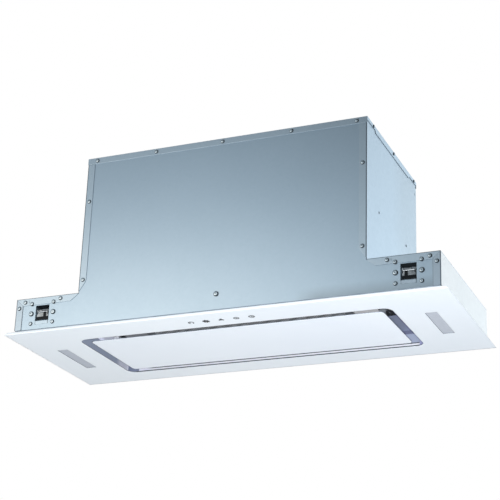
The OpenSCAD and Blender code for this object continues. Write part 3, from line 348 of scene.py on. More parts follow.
base_top = 0.0751
zinc_shoulder = galvanised("zinc_sheet_shoulder", *zinc_tones)
# Painted shade: a dark line along the shoulders' top fold.
toned(zinc_shoulder, (0.12, 0.15, 0.18), ("Z", base_top, everywhere), ("Y", -everywhere, face + 0.0012))

zinc_front = galvanised("zinc_sheet_front", (0.293, 0.385, 0.469), (0.312, 0.406, 0.492))
lip_low, lip_in, lip_out = 0.0205, 0.3602, 0.3881
# Painted shade: dark lines at both ends of the pressed lips under the windows. The lips themselves are a
# touch paler.
for lip_end in (lip_in, lip_out):
    toned(zinc_front, (0.11, 0.14, 0.17), ("|X|", lip_end, lip_end + 0.0008), ("Z", lip_low, 0.0275))
toned(zinc_front, (0.6, 0.66, 0.7), ("|X|", lip_in + 0.0008, lip_out - 0.0001), ("Z", lip_low, 0.0262),
      amount=0.08)
# Painted shade: the right half of the front sheet is darker towards its foot.
toned(zinc_front, (0.17, 0.21, 0.24), ("X", 0.2, 0.433), ("Z", -everywhere, -0.01), soft=0.045)
print("housing sheets: 5 finishes")

# %% [markdown]
# Behind the plate lies a recess of bent sheet, which shows only through the narrow gaps
# round the plate. Lamps within it could shade it, but such thin stripes would turn
# grainy. So its light and shade are painted into the colour as stripes: painted violet shade
# at the sides, painted light on the ceiling near the front corners, and on the far wall one
# painted pale line between two dark lines of painted shade. More painted light and shade lie
# at the far corners, and the hinge brackets are painted dark for the shade they lie in.
# Later tones lie over earlier ones.

# %% Sheet of the recess
recess_metal = galvanised("recess_sheet", (0.55, 0.6, 0.7), (0.6, 0.65, 0.75), 0.4, 0.1, 0.0006)
ceiling, front_half, far_wall = ("Z", 0.03, 0.04), ("Y", -0.2, 0.027), ("Y", 0.1228, 0.2)
right_end, left_end = ("X", 0.29, 0.4), ("X", -0.4, -0.29)
toned(recess_metal, (0.22, 0.235, 0.385), right_end)
toned(recess_metal, (0.235, 0.275, 0.36), left_end)
toned(recess_metal, (0.27, 0.31, 0.44), ("X", 0.255, 0.2899), ("Y", 0.028, 0.2))
toned(recess_metal, (0.93, 0.94, 0.97), ("X", 0.2, 0.27), front_half, ceiling)
toned(recess_metal, (0.8, 0.83, 0.97), ("X", -0.33, -0.2925), front_half, ceiling)
toned(recess_metal, (0.36, 0.38, 0.42), ("X", -0.27, -0.2), ("Y", -0.2, 0.03), ceiling)
toned(recess_metal, (0.48, 0.5, 0.55), far_wall, ("Z", 0.003, 0.0061))
toned(recess_metal, (0.06, 0.07, 0.085), far_wall, ("Z", 0.0064, 0.04))
# Painted light and shade at the far corners of the recess.
toned(recess_metal, (0.45, 0.47, 0.56), ("X", -0.4, -0.285), ("Y", 0.075, 0.13), soft=0.015)
toned(recess_metal, (0.11, 0.13, 0.19), ("X", -0.4, -0.304), ("Y", 0.112, 0.2), soft=0.002)
toned(recess_metal, (0.085, 0.095, 0.15), ("X", 0.255, 0.4), far_wall, ("Z", 0.026, 0.04))
toned(recess_metal, (0.2, 0.23, 0.31), ("X", 0.27, 0.4), far_wall, ("Z", 0.0092, 0.026), soft=0.0015)
toned(recess_metal, (0.05, 0.06, 0.075), far_wall, ("Z", -everywhere, 0.0029))
# Painted shade: the hinge brackets and ears are dark, for the shade they lie in.
recess_bracket = galvanised("recess_bracket", (0.1, 0.11, 0.15), (0.14, 0.15, 0.2), 0.45, 0.3, 0.0004)
print("recess finishes made")

# %% [markdown]
# The panel and the plate are painted steel: a smooth cool white under a clear gloss. One
# flat white would look like plastic, and strong contrast would look dirty, so the noise
# is there but stays small. The panel's folded rim has a full round edge, the plate's edge
# is tighter. Painted shade darkens the cut edges round the opening, the plate's edges, the
# panel's front rim above its lowest edge and the panel's far edge, and painted light makes
# both sheets a little paler towards the left.

# %% White paint


def white_paint(name, edge, low, high):
    """Smooth sprayed paint between two whites, with an edge of the given roundness."""
    made = finish(name, high, roughness=0.3, Coat_Weight=0.25, Coat_Roughness=0.12)
    tree = made.node_tree
    tree.links.new(ramp(tree, noise(tree, 5, 2), low, high),
                   tree.nodes["Principled BSDF"].inputs["Base Color"])
    return surface(made, noise(tree, 900, 1), 0.000003, edge)


left_part, inside_edge = ("X", -everywhere, -0.12), 0.00012
paint = white_paint("white_paint", 0.0022, (0.77, 0.842, 0.915), (0.805, 0.868, 0.935))
# Painted light: the panel is paler towards the left.
toned(paint, (0.87, 0.935, 0.99), left_part, soft=0.3, amount=0.8)
# Painted shade on the front rim above its lowest edge.
toned(paint, (0.5, 0.545, 0.58), ("Y", -everywhere, -0.17), ("Z", 0.0008, 0.02), soft=0.0004, amount=0.7)
# Painted shade along the panel's far edge.
toned(paint, (0.45, 0.46, 0.52), ("Y", 0.1745, everywhere), ("Z", -everywhere, 0.0004), amount=0.5)
# Painted shade on the cut edges round the opening.
toned(paint, (0.055, 0.07, 0.09), ("|X|", -everywhere, 0.41), ("|Y|", -everywhere, 0.13),
      ("Z", inside_edge, 0.0013), soft=0.00005)
plate_paint = white_paint("white_paint_plate", 0.0009, (0.805, 0.875, 0.965), (0.835, 0.9, 0.98))
# Painted light: the plate is paler towards the left.
toned(plate_paint, (0.87, 0.935, 1), left_part, soft=0.3, amount=0.7)
# Painted shade on the plate's edges.
toned(plate_paint, (0.24, 0.28, 0.33), ("Z", inside_edge, 0.002), soft=0.00005)
print("paint made")

# %% [markdown]
# The small parts are plated steel, aluminium, black plastic with a fine grain, frosted
# lenses, rubber and lacquered boards. A tree for each would say the same thing many
# times, so one recipe serves them all: a cloudy colour, a roughness that varies and a
# fine bump, each with its own numbers. Most finishes are named like the slots of the CAD
# model. The last four are for single pieces.

# %% Small parts' finishes


def grained(name, dark, light, metallic, roughness, scale, depth, **more):
    """A finish with a cloudy colour and a fine grain."""
    made = finish(name, light, metallic, roughness, **more)
    tree = made.node_tree
    shader = tree.nodes["Principled BSDF"]
    tree.links.new(ramp(tree, noise(tree, scale * 0.1, 3), dark, light), shader.inputs["Base Color"])
    tree.links.new(vary(tree, noise(tree, scale * 0.3, 2), roughness - 0.06, roughness + 0.06),
                   shader.inputs["Roughness"])
    return surface(made, noise(tree, scale, 2), depth, 0.0003)


finishes = {
    "bright_steel": grained("plated_steel", (0.2, 0.235, 0.27), (0.3, 0.34, 0.38), 0.95, 0.3, 800, 0.00001),
    "filter_aluminium": grained("filter_metal", (0.17, 0.19, 0.22), (0.25, 0.275, 0.31), 0.45, 0.42, 600,
                                0.00003),
    "black_plastic": grained("black_plastic", (0.022, 0.024, 0.027), (0.04, 0.043, 0.047), 0, 0.5, 900,
                             0.00004),
    "lamp_lens": grained("frosted_lens", (0.445, 0.49, 0.56), (0.485, 0.53, 0.61), 0, 0.42, 1200, 0.00002,
                         Coat_Weight=0.3),
    "lamp_tray": grained("light_plastic", (0.66, 0.67, 0.66), (0.74, 0.75, 0.74), 0, 0.4, 700, 0.00003),
    "circuit_board": grained("board_lacquer", (0.015, 0.1, 0.04), (0.03, 0.17, 0.07), 0, 0.32, 500, 0.00003),
    "copper_pad": grained("gold_pad", (0.55, 0.36, 0.1), (0.72, 0.5, 0.18), 0.95, 0.3, 500, 0.00002),
    "motor_alloy": grained("cast_alloy", (0.36, 0.38, 0.4), (0.5, 0.52, 0.54), 0.85, 0.5, 350, 0.0001),
    "rubber": grained("rubber", (0.014, 0.014, 0.015), (0.028, 0.028, 0.03), 0, 0.75, 500, 0.00005),
    # The seal is dark grey rubber. Where it shows between housing and panel, its dark also stands for the
    # shade in that joint.
    "seal_rubber": grained("seal", (0.1, 0.13, 0.16), (0.17, 0.2, 0.24), 0, 0.7, 500, 0.00005),
    "galvanised": zinc,
    "recess_steel": recess_metal,
    "white_panel": paint,
    "screw_steel": grained("screw_steel", (0.33, 0.41, 0.47), (0.4, 0.49, 0.56), 1, 0.13, 700, 0.000004),
    "claw_steel": grained("claw_steel", (0, 0, 0), (0.34, 0.39, 0.43), 0.9, 0.25, 330, 0.00002),
    # Painted highlight: the claws' rolled hems are pale and nearly non-metal, for the bright line across each
    # window.
    "roll_painted_highlight": grained("roll_painted_highlight", (0.62, 0.68, 0.72), (0.75, 0.8, 0.84), 0.2, 0.3, 700, 0.000004),
    "catch_black": grained("catch_black", (0.015, 0.016, 0.018), (0.03, 0.032, 0.036), 0, 0.45, 900, 0.00002),
}
print("finishes:", len(finishes))

# %% [markdown]
# Some small parts carry painted light and shade too. Screw heads get painted shade down their
# flank, as a glossy dome would show in a white room. A place in space can't say where that is,
# because screws stand all over the housing, so the painted shade follows an attribute that the
# heads carry. The claws are dark spring steel with bright patches in the colour, and painted
# shade in one hollow and on the foot. The left catch and the left striker carry painted light
# at their left ends.

# %% Tones of the small parts
# Painted shade down the flank of every screw head.
rim = finishes["screw_steel"].node_tree.nodes.new("ShaderNodeAttribute")
rim.attribute_name = "rim"
mix_in(finishes["screw_steel"], rim.outputs["Fac"], (0.035, 0.045, 0.055))
# Painted shade in the claws' hollows and on their feet.
claw_painted_shade, hollow_half = (0.006, 0.008, 0.01), 0.0025
for hollow_x in (0.3695, -0.3695):
    toned(finishes["claw_steel"], claw_painted_shade, ("X", hollow_x - hollow_half, hollow_x + hollow_half),
          ("Z", 0.037, 0.0455), soft=0.002)
toned(finishes["claw_steel"], claw_painted_shade, ("Z", -everywhere, 0.0366))
# Painted light at the left ends of the left catch and the left striker.
toned(finishes["catch_black"], (0.7, 0.73, 0.8), ("X", -0.3, -0.2815))
striker_steel = galvanised("striker_steel", (0.16, 0.18, 0.2), (0.22, 0.24, 0.27), 0.45, 0.5, 0.0004)
toned(striker_steel, (0.75, 0.78, 0.86), ("X", -0.3, -0.2765))
print("tones of the small parts laid")

# %% [markdown]
# Most sheets of this hood are CAD nodes that need nothing but a finish. The record names
# a slot for every node, so this is one lookup. The sheets and claws with tones of their
# own stand in a short table, which is easier to check than lines all over the script.

# %% Finishes of the CAD nodes
slot_of = {part["node"]: part["material_slot"] for part in frame["record"]["subparts"]}
own_finish = {node: finishes[slot] for node, slot in slot_of.items()}
for made, nodes in (
        (zinc_end, ("left_end_wall", "right_end_wall")),
        (zinc_side, ("left_side_panel", "right_side_panel")),
        (zinc_shoulder, ("left_shoulder", "right_shoulder")),
        (zinc_front, ("front_panel", "back_panel")),
        (recess_bracket, ("plate_hinge_brackets", "plate_hinge_ears")),
        (plate_paint, ("suction_plate",)),
        (striker_steel, ("plate_strikers",)),
        (finishes["claw_steel"], [node for node in slot_of if node.startswith("clip_claw")])):
    own_finish.update(dict.fromkeys(nodes, made))
for node, shape in frame["nodes"].items():
    shape.data.materials.clear()
    shape.data.materials.append(own_finish[node])
print("finished nodes:", len(own_finish))

# %% [markdown]
# The finer pieces of a hood are nearly all turned parts, small blocks and bent wire. Each
# could be modelled from a cylinder or a cube with modifiers. Three helpers that write
# corners and faces straight into a mesh are shorter and give the same piece on each run.
# Sizes are in metres. Where millimetres read better, MM turns them into metres.

# %% Shape helpers
MM = 0.001


def mm(*profile):
    """A turned shape's profile, given in millimetres."""
    return [(radius * MM, height * MM) for radius, height in profile]


def walls(shape, one, two):
    """Faces between two rings of the same number of corners."""
    for k in range(len(one)):
        n = (k + 1) % len(one)
        shape.faces.new([one[k], one[n], two[n], two[k]])


def turned(shape, profile, place=Matrix.Identity(4), steps=32):
    """Adds a turned shape. The profile's points are (radius, height); a radius of 0 is on the axis."""
    rings = []
    for radius, height in profile:
        count = steps if radius > 0 else 1
        rings.append([shape.verts.new(place @ Vector((radius * math.cos(2 * math.pi * k / steps),
                                                      radius * math.sin(2 * math.pi * k / steps), height)))
                      for k in range(count)])
    if profile[0][0] > 0:
        rings.append(rings[0])
    for one, two in zip(rings, rings[1:]):
        for k in range(steps):
            corners = list(dict.fromkeys([one[k % len(one)], one[(k + 1) % len(one)],
                                          two[(k + 1) % len(two)], two[k % len(two)]]))
            if len(corners) > 2:
                shape.faces.new(corners)


def block(shape, low, high, soft=0.0, place=Matrix.Identity(4)):
    """Adds a box between two corners, with its edges eased when soft is given."""
    low, high = Vector(low), Vector(high)
    made = bmesh.ops.create_cube(shape, size=1)
    fitted = Matrix.Translation((low + high) / 2) @ Matrix.Diagonal((*(high - low), 1))
    bmesh.ops.transform(shape, matrix=place @ fitted, verts=made["verts"])
    if soft:
        edges = list({edge for vert in made["verts"] for edge in vert.link_edges})
        bmesh.ops.bevel(shape, geom=edges, offset=soft, segments=2, affect="EDGES", profile=0.5)


def tube(shape, path, radius, sides=8):
    """Adds a round tube along a path of points, closed at both ends."""
    side = None
    rings = []
    for i, point in enumerate(path):
        ahead = (path[min(i + 1, len(path) - 1)] - path[max(i - 1, 0)]).normalized()
        side = (side - ahead * side.dot(ahead)).normalized() if side else ahead.orthogonal().normalized()
        up = ahead.cross(side)
        rings.append([shape.verts.new(point + radius * (side * math.cos(2 * math.pi * k / sides)
                                                        + up * math.sin(2 * math.pi * k / sides)))
                      for k in range(sides)])
    for one, two in zip(rings, rings[1:]):
        walls(shape, one, two)
    shape.faces.new(rings[0])
    shape.faces.new(rings[-1])


print("shape helpers ready")

# %% [markdown]
# A drawn shape becomes a piece of the hood in three steps: its faces are turned outward,
# it gets a finish, and it is put on its body. The steps are the same for every piece, so
# they stand in one place. A piece may stand in for nodes of the CAD model, and these are
# then left out.

# %% From a shape to a piece


def smooth(mesh):
    """Smooth shading except at real corners."""
    mesh.polygons.foreach_set("use_smooth", [True] * len(mesh.polygons))
    mesh.set_sharp_from_angle(angle=math.radians(35))
    return mesh


def solid(name, shape):
    """Turns a drawn shape into a mesh with its faces outward."""
    bmesh.ops.recalc_face_normals(shape, faces=shape.faces)
    mesh = bpy.data.meshes.new(name)
    shape.to_mesh(mesh)
    shape.free()
    return smooth(mesh)


def keep(name, mesh, body, instead_of):
    """Puts a mesh on its body and the CAD nodes that it stands in for."""
    made = link(name, mesh, body)
    if instead_of:
        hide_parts(*instead_of)
    return made


def piece(name, shape, kind, body="housing", instead_of=()):
    """A drawn piece with one of the finishes, in place of CAD nodes when they are named."""
    mesh = solid(name, shape)
    mesh.materials.append(finishes[kind])
    return keep(name, mesh, body, instead_of)


print("piece helpers ready")

# %% [markdown]
# Much in a hood repeats: screws, rivets, blades, ribs and gussets. A loop could copy them
# one by one. A Geometry Nodes tree copies one shape to many points at once, and its named
# inputs say in plain words what can be changed. The tree makes the copies real and gives
# them their material. The result is kept as a plain mesh, so the piece no longer depends
# on its tree.

# %% Geometry Nodes helpers


def tree_on(name, build, material):
    """A Geometry Nodes tree that ends in real geometry with a material, and its named inputs."""
    tree = bpy.data.node_groups.new(name, "GeometryNodeTree")
    tree.interface.new_socket("Geometry", in_out="INPUT", socket_type="NodeSocketGeometry")
    tree.interface.new_socket("Geometry", in_out="OUTPUT", socket_type="NodeSocketGeometry")
    inputs = tree.nodes.new("NodeGroupInput")
    sockets = {}

    def named(label, kind):
        """A new input of the tree. Its socket is kept, so that its value can be given."""
        sockets[label] = tree.interface.new_socket(label, in_out="INPUT", socket_type=kind)
        return inputs.outputs[label]

    result = build(tree, inputs.outputs[0], named)
    real = tree.nodes.new("GeometryNodeRealizeInstances")
    paint_all = tree.nodes.new("GeometryNodeSetMaterial")
    paint_all.inputs["Material"].default_value = material
    tree.links.new(result, real.inputs["Geometry"])
    tree.links.new(real.outputs["Geometry"], paint_all.inputs["Geometry"])
    tree.links.new(paint_all.outputs["Geometry"], tree.nodes.new("NodeGroupOutput").inputs[0])
    return tree, sockets


def modified(carrier):
    """The mesh that an object shows with its modifiers."""
    return bpy.data.meshes.new_from_object(carrier.evaluated_get(bpy.context.evaluated_depsgraph_get()))


def grown(name, kind, build, values, points=None, body="housing", instead_of=()):
    """Runs a tree once on a mesh of points and keeps the result as a plain mesh on a body."""
    tree, sockets = tree_on(name, build, finishes[kind])
    carrier = link(name + "_carrier", points or bpy.data.meshes.new(name + "_carrier"))
    modifier = carrier.modifiers.new("nodes", "NODES")
    modifier.node_group = tree
    for label, value in values.items():
        modifier[sockets[label].identifier] = value
    carrier.update_tag()
    mesh = modified(carrier)
    mesh.name = name
    carrier.modifiers.remove(modifier)
    bpy.data.objects.remove(carrier)
    return keep(name, mesh, body, instead_of)


print("trees can be run")

# %% [markdown]
# Ribs stand in rows. Gussets, grip ribs and blades stand in rings. A tree for each would
# differ only in shape, count and distance, so the trees are built from a few bricks:
# copies of a shape on points, a shape that is moved, and a shape that comes in from
# outside. Two whole trees are used again and again: copies in a row and copies in a ring.

# %% Rows and rings


def copies(tree, points, shape, turn=None, size=None):
    """A copy of a shape at every point, turned and sized when those are linked."""
    node = tree.nodes.new("GeometryNodeInstanceOnPoints")
    tree.links.new(points, node.inputs["Points"])
    tree.links.new(shape, node.inputs["Instance"])
    if turn:
        tree.links.new(turn, node.inputs["Rotation"])
    if size:
        tree.links.new(size, node.inputs["Scale"])
    return node.outputs["Instances"]


def moved(tree, shape, shift=(0, 0, 0), turn=(0, 0, 0)):
    """The shape, turned and shifted."""
    node = tree.nodes.new("GeometryNodeTransform")
    node.inputs["Translation"].default_value = shift
    node.inputs["Rotation"].default_value = turn
    tree.links.new(shape, node.inputs["Geometry"])
    return node.outputs["Geometry"]


def shape_of(tree, source):
    """The geometry of an object that comes in through a named input."""
    node = tree.nodes.new("GeometryNodeObjectInfo")
    tree.links.new(source, node.inputs["Object"])
    return node.outputs["Geometry"]


def in_row(tree, _, named):
    """Copies of one shape in a row."""
    one = shape_of(tree, named("Shape", "NodeSocketObject"))
    line = tree.nodes.new("GeometryNodeMeshLine")
    tree.links.new(named("Count", "NodeSocketInt"), line.inputs["Count"])
    tree.links.new(named("Step", "NodeSocketVector"), line.inputs["Offset"])
    return copies(tree, line.outputs["Mesh"], one)


def around(tree, one, count, radius):
    """Copies of a shape round an upright axis, each with its X pointing outwards."""
    circle = tree.nodes.new("GeometryNodeMeshCircle")
    tree.links.new(count, circle.inputs["Vertices"])
    tree.links.new(radius, circle.inputs["Radius"])
    place = tree.nodes.new("GeometryNodeInputPosition")
    out = tree.nodes.new("FunctionNodeAlignRotationToVector")
    out.axis = "X"
    out.pivot_axis = "Z"
    tree.links.new(place.outputs[0], out.inputs["Vector"])
    return copies(tree, circle.outputs["Mesh"], one, out.outputs[0])


def in_ring(tree, _, named):
    """Copies of one shape in a ring round a centre."""
    one = shape_of(tree, named("Shape", "NodeSocketObject"))
    ringed = around(tree, one, named("Count", "NodeSocketInt"), named("Radius", "NodeSocketFloat"))
    shift = tree.nodes.new("GeometryNodeTransform")
    tree.links.new(ringed, shift.inputs["Geometry"])
    tree.links.new(named("Centre", "NodeSocketVector"), shift.inputs["Translation"])
    return shift.outputs["Geometry"]


def repeated(name, kind, shape, build, values, body="housing", instead_of=()):
    """Grows copies of one drawn shape and keeps them as one piece."""
    one = link(name + "_one", solid(name + "_one", shape))
    made = grown(name, kind, build, {"Shape": one, **values}, None, body, instead_of)
    bpy.data.objects.remove(one)
    return made


print("node helpers ready")

# %% [markdown]
# The grease filter is expanded metal: a sheet that is slit and pulled open into diamonds.
# The CAD node holds a coarse grid. Cutting thousands of diamonds out of a sheet would be
# slow, so a tree lays two slanting strands at every point of a grid, and together they
# form the diamonds. A wave in the colour paints light and shade on the strands: a painted
# highlight on the knuckles and painted shade on their flanks.

# %% Mesh of the filter
mesh_low, mesh_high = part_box("filter_mesh")
mesh_size = mesh_high - mesh_low
mesh_mid = (mesh_high + mesh_low) / 2
columns, rows = 92, 32


def expanded(tree, _, named):
    """Diamonds from two slanting strands at each point of a grid."""
    across = named("Diamonds across", "NodeSocketInt")
    along = named("Diamonds along", "NodeSocketInt")
    wide, deep = mesh_size.x / columns, mesh_size.y / rows
    grid = tree.nodes.new("GeometryNodeMeshGrid")
    grid.inputs["Size X"].default_value = mesh_size.x - wide
    grid.inputs["Size Y"].default_value = mesh_size.y - deep
    tree.links.new(across, grid.inputs["Vertices X"])
    tree.links.new(along, grid.inputs["Vertices Y"])
    both = tree.nodes.new("GeometryNodeJoinGeometry")
    for turn in (1, -1):
        strand = tree.nodes.new("GeometryNodeMeshCube")
        strand.inputs["Size"].default_value = (math.hypot(wide, deep) * 1.04, 0.0008, 0.0004)
        slant = (0.2 * turn, 0, turn * math.atan2(deep, wide))
        tree.links.new(moved(tree, strand.outputs["Mesh"], turn=slant), both.inputs[0])
    return moved(tree, copies(tree, grid.outputs["Mesh"], both.outputs[0]), mesh_mid)


mesh_metal = grained("mesh_metal", (0.66, 0.72, 0.8), (0.92, 0.95, 1), 0.3, 0.4, 600, 0.00003)
tree = mesh_metal.node_tree
# Painted light and shade: a wave of dark flanks between pale, bright knuckles.
knuckles = tree.nodes.new("ShaderNodeTexWave")
knuckles.bands_direction = "DIAGONAL"
knuckles.inputs["Scale"].default_value = 165
where = tree.nodes.new("ShaderNodeTexCoord")
tree.links.new(where.outputs["Object"], knuckles.inputs["Vector"])
finishes["mesh_aluminium"] = mix_in(mesh_metal, vary(tree, knuckles.outputs["Fac"], 1, 0),
                                    (0.012, 0.016, 0.022))
mesh_piece = grown("filter_expanded_mesh", "mesh_aluminium", expanded,
                   {"Diamonds across": columns, "Diamonds along": rows}, instead_of=("filter_mesh",))
print("mesh faces:", len(mesh_piece.data.polygons))

# %% [markdown]
# Small screws and rivets hold the sheets together. The CAD nodes hold them as plain pan
# heads. Their places could be typed in once more, but would be wrong as soon as a sheet
# changes. So they are read back from the loose parts of each node: the centre, the way
# that a head faces and its radius.

# %% Seats of the fasteners


def loose_parts(source):
    """The corner points of each loose part of an object."""
    spot, index = {}, []
    for vert in source.data.vertices:
        key = tuple(round(v, 6) for v in vert.co)
        index.append(spot.setdefault(key, len(spot)))
    group = list(range(len(spot)))

    def root(i):
        """The corner that stands for the whole part of this one."""
        while group[i] != i:
            group[i] = group[group[i]]
            i = group[i]
        return i

    for edge in source.data.edges:
        one, two = (root(index[vert]) for vert in edge.vertices)
        group[one] = two
    parts = {}
    for key, i in spot.items():
        parts.setdefault(root(i), []).append(source.matrix_world @ Vector(key))
    return parts.values()


def seats(node):
    """Seat, outward direction and head radius of every fastener in a CAD node."""
    found = []
    for points in loose_parts(frame["nodes"][node]):
        low = [min(p[k] for p in points) for k in range(3)]
        high = [max(p[k] for p in points) for k in range(3)]
        size = [h - l for h, l in zip(high, low)]
        axis = min(range(3), key=lambda k: abs(size[(k + 1) % 3] - size[(k + 2) % 3]))
        one, two = (axis + 1) % 3, (axis + 2) % 3
        middle = [(h + l) / 2 for h, l in zip(high, low)]
        radius = size[one] / 2
        head = [p[axis] for p in points
                if math.hypot(p[one] - middle[one], p[two] - middle[two]) > 0.95 * radius]
        way = 1 if sum(head) / len(head) > middle[axis] else -1
        middle[axis] = min(head) if way > 0 else max(head)
        facing = [0, 0, 0]
        facing[axis] = way
        found.append((middle, facing, radius))
    return found


def seat_mesh(name, found):
    """A mesh of loose points that carries each seat's direction and size."""
    mesh = bpy.data.meshes.new(name)
    mesh.from_pydata([seat for seat, _, _ in found], [], [])
    facing = mesh.attributes.new("facing", "FLOAT_VECTOR", "POINT")
    facing.data.foreach_set("vector", [v for _, way, _ in found for v in way])
    size = mesh.attributes.new("size", "FLOAT", "POINT")
    size.data.foreach_set("value", [radius for _, _, radius in found])
    return mesh


for node in ("housing_screws", "clip_rivets", "inner_screws"):
    print(node, "has", len(seats(node)), "seats")

# %% [markdown]
# A tree puts a finer head on every seat. On a real hood no two screws come to rest at the
# same turn, so each head gets a random turn of its own. The seed is fixed, which gives
# the same hood on each run.

# %% Tree for the fasteners


def fasteners(tree, points, named):
    """A head at each seat, turned to face out, with a spin of its own."""
    head = shape_of(tree, named("Head", "NodeSocketObject"))
    spin = named("Largest spin", "NodeSocketFloat")
    seed = named("Seed", "NodeSocketInt")
    attributes = []
    for label, kind in (("facing", "FLOAT_VECTOR"), ("size", "FLOAT")):
        node = tree.nodes.new("GeometryNodeInputNamedAttribute")
        node.data_type = kind
        node.inputs["Name"].default_value = label
        attributes.append(node.outputs["Attribute"])
    facing = tree.nodes.new("FunctionNodeAlignRotationToVector")
    facing.axis = "Z"
    tree.links.new(attributes[0], facing.inputs["Vector"])
    angle = tree.nodes.new("FunctionNodeRandomValue")
    angle.data_type = "FLOAT"
    tree.links.new(spin, angle.inputs[3])
    tree.links.new(seed, angle.inputs["Seed"])
    about = tree.nodes.new("FunctionNodeAxisAngleToRotation")
    tree.links.new(angle.outputs[1], about.inputs["Angle"])
    turned_too = tree.nodes.new("FunctionNodeRotateRotation")
    turned_too.rotation_space = "LOCAL"
    tree.links.new(facing.outputs[0], turned_too.inputs["Rotation"])
    tree.links.new(about.outputs[0], turned_too.inputs["Rotate By"])
    return copies(tree, points, head, turned_too.outputs[0], attributes[1])


print("tree for fasteners ready")

# %% [markdown]
# A screw has a low dome with a cross in it, and a rivet a dome with a hollow in the
# middle. The hollow is part of the turned profile. The cross isn't round, so it is cut
# out with a Boolean, on the one head that is copied later. Each head stores how far down
# its flank a point lies, and the finish paints shade on it by that.

# %% Heads of screws and rivets


def cut_by(name, body_shape, cutter_shape):
    """One mesh with another cut out of it."""
    kept = link(name, solid(name, body_shape))
    cutter = link(name + "_cutter", solid(name + "_cutter", cutter_shape))
    modifier = kept.modifiers.new("cut", "BOOLEAN")
    modifier.operation = "DIFFERENCE"
    modifier.solver = "EXACT"
    modifier.use_self = True
    modifier.object = cutter
    mesh = modified(kept)
    bpy.data.objects.remove(cutter)
    bpy.data.objects.remove(kept)
    return mesh


def rimmed(mesh, low=0.3, high=0.62):
    """Stores how far down its flank each point of a head lies: 1 below low, 0 above high."""
    flank = mesh.attributes.new("rim", "FLOAT", "POINT")
    flank.data.foreach_set("value", [min(max((high - v.co.z) / (high - low), 0), 1) for v in mesh.vertices])
    return mesh


screw_shape, cross = bmesh.new(), bmesh.new()
turned(screw_shape, [(0, -0.95), (0.45, -0.95), (0.45, 0), (1, 0), (1.02, 0.1), (0.97, 0.28), (0.84, 0.45),
                     (0.64, 0.57), (0.4, 0.64), (0, 0.66)], steps=24)
block(cross, (-0.34, -0.075, 0.4), (0.34, 0.075, 1))
block(cross, (-0.075, -0.34, 0.4), (0.075, 0.34, 1))
screw_mesh = smooth(cut_by("screw_head", screw_shape, cross))
rivet_shape = bmesh.new()
turned(rivet_shape, [(0, -0.75), (0.45, -0.75), (0.45, 0), (1, 0), (1.02, 0.1), (0.95, 0.3), (0.8, 0.47),
                     (0.58, 0.58), (0.36, 0.62), (0.26, 0.6), (0.22, 0.44), (0, 0.42)], steps=24)
screw_head = link("screw_head", rimmed(screw_mesh))
rivet_head = link("rivet_head", rimmed(solid("rivet_head", rivet_shape)))
for name, node, head in (("housing_screw_heads", "housing_screws", screw_head),
                         ("clip_rivet_heads", "clip_rivets", rivet_head),
                         ("inner_screw_heads", "inner_screws", screw_head)):
    made = grown(name, "screw_steel", fasteners, {"Head": head, "Largest spin": math.pi, "Seed": 7},
                 seat_mesh(name + "_seats", seats(node)), instead_of=(node,))
    print(name, len(made.data.polygons), "faces")

# %% [markdown]
# Each clip has a torsion spring round its pin: one unbroken wire with a leg on the cage
# and a leg on the claw. A curve with a round bevel could draw it. A list of points is
# plainer here, because the coil and both legs come from the same three lines. The CAD
# coil has few sides, and this is the same coil drawn round.

# %% Springs
clip_x, clip_y, clip_z = 374.5, 159.5, 50.5
print("each clip's pin lies", clip_x, clip_y, clip_z, "mm out")
spring_shape = bmesh.new()
wire, coil, pitch, leg, start_x, steps = 0.6 * MM, 2.4 * MM, 2 * MM, 13 * MM, 365.6 * MM, 152
first, last = math.radians(-90), math.radians(-1811)
for side in (1, -1):
    for end in (1, -1):
        points = []
        for i in range(-1, steps + 2):
            a = first + (last - first) * min(max(i, 0), steps) / steps
            reach = -leg if i < 0 else leg if i > steps else 0
            x = start_x + (first - a) / (2 * math.pi) * pitch
            y = -clip_y * MM + coil * math.cos(a) + reach * math.sin(a)
            z = clip_z * MM + coil * math.sin(a) - reach * math.cos(a)
            points.append(Vector((side * x, end * y, z)))
        tube(spring_shape, points, wire)
piece("clip_coils", spring_shape, "bright_steel", instead_of=("clip_springs",))
print("springs: 4")

# %% [markdown]
# The impeller has curved blades between two rings, and a hub plate in the middle. A blade
# is a thin bent shell. It could be a sheet with Solidify on it, but forty copies have to
# stay light, so it is drawn as one strip with fourteen corners. The rings and the hub are
# round and are turned.

# %% Blade, rings and hub
motor_axis = Vector((0, -38.921 * MM, 215 * MM))
wheel_low, wheel_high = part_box("impeller")
wheel_r = (wheel_high.z - wheel_low.z) / 2
bend_steps, arc, bend_in, bend_out, inset = 6, 96, 7.6 * MM, 8.5 * MM, 1.5 * MM
inner, outer = [], []
for k in range(bend_steps + 1):
    a = math.radians(arc * (k / bend_steps - 0.5))
    for line, r in ((inner, bend_in), (outer, bend_out)):
        line.append(Vector((r * math.sin(a), r * math.cos(a) - 5 * MM)))
outline = outer + inner[::-1]
blade_shape = bmesh.new()
ends = [[blade_shape.verts.new((p.x, p.y, z)) for p in outline]
        for z in (wheel_low.x + inset, wheel_high.x - inset)]
walls(blade_shape, *ends)
for k in range(bend_steps):
    for line in ends:
        blade_shape.faces.new([line[k], line[k + 1], line[-2 - k], line[-1 - k]])
blade = link("blade", solid("blade", blade_shape))
rim_shape = bmesh.new()
rim_in, rim_wide = 76 * MM, 2.5 * MM
for x0 in (wheel_low.x, wheel_high.x - rim_wide):
    x1 = x0 + rim_wide
    turned(rim_shape, [(rim_in, x0), (wheel_r, x0), (wheel_r, x1), (rim_in, x1)], steps=72)
turned(rim_shape, mm((4.04, -6), (14, -6), (14, 3), (60, 3), (64, 4), (87, 4), (87, 5.5), (63, 5.5),
                     (60, 4.5), (14, 5.5), (14, 10), (4.04, 10)), steps=72)
rims = link("rims", solid("rims", rim_shape))
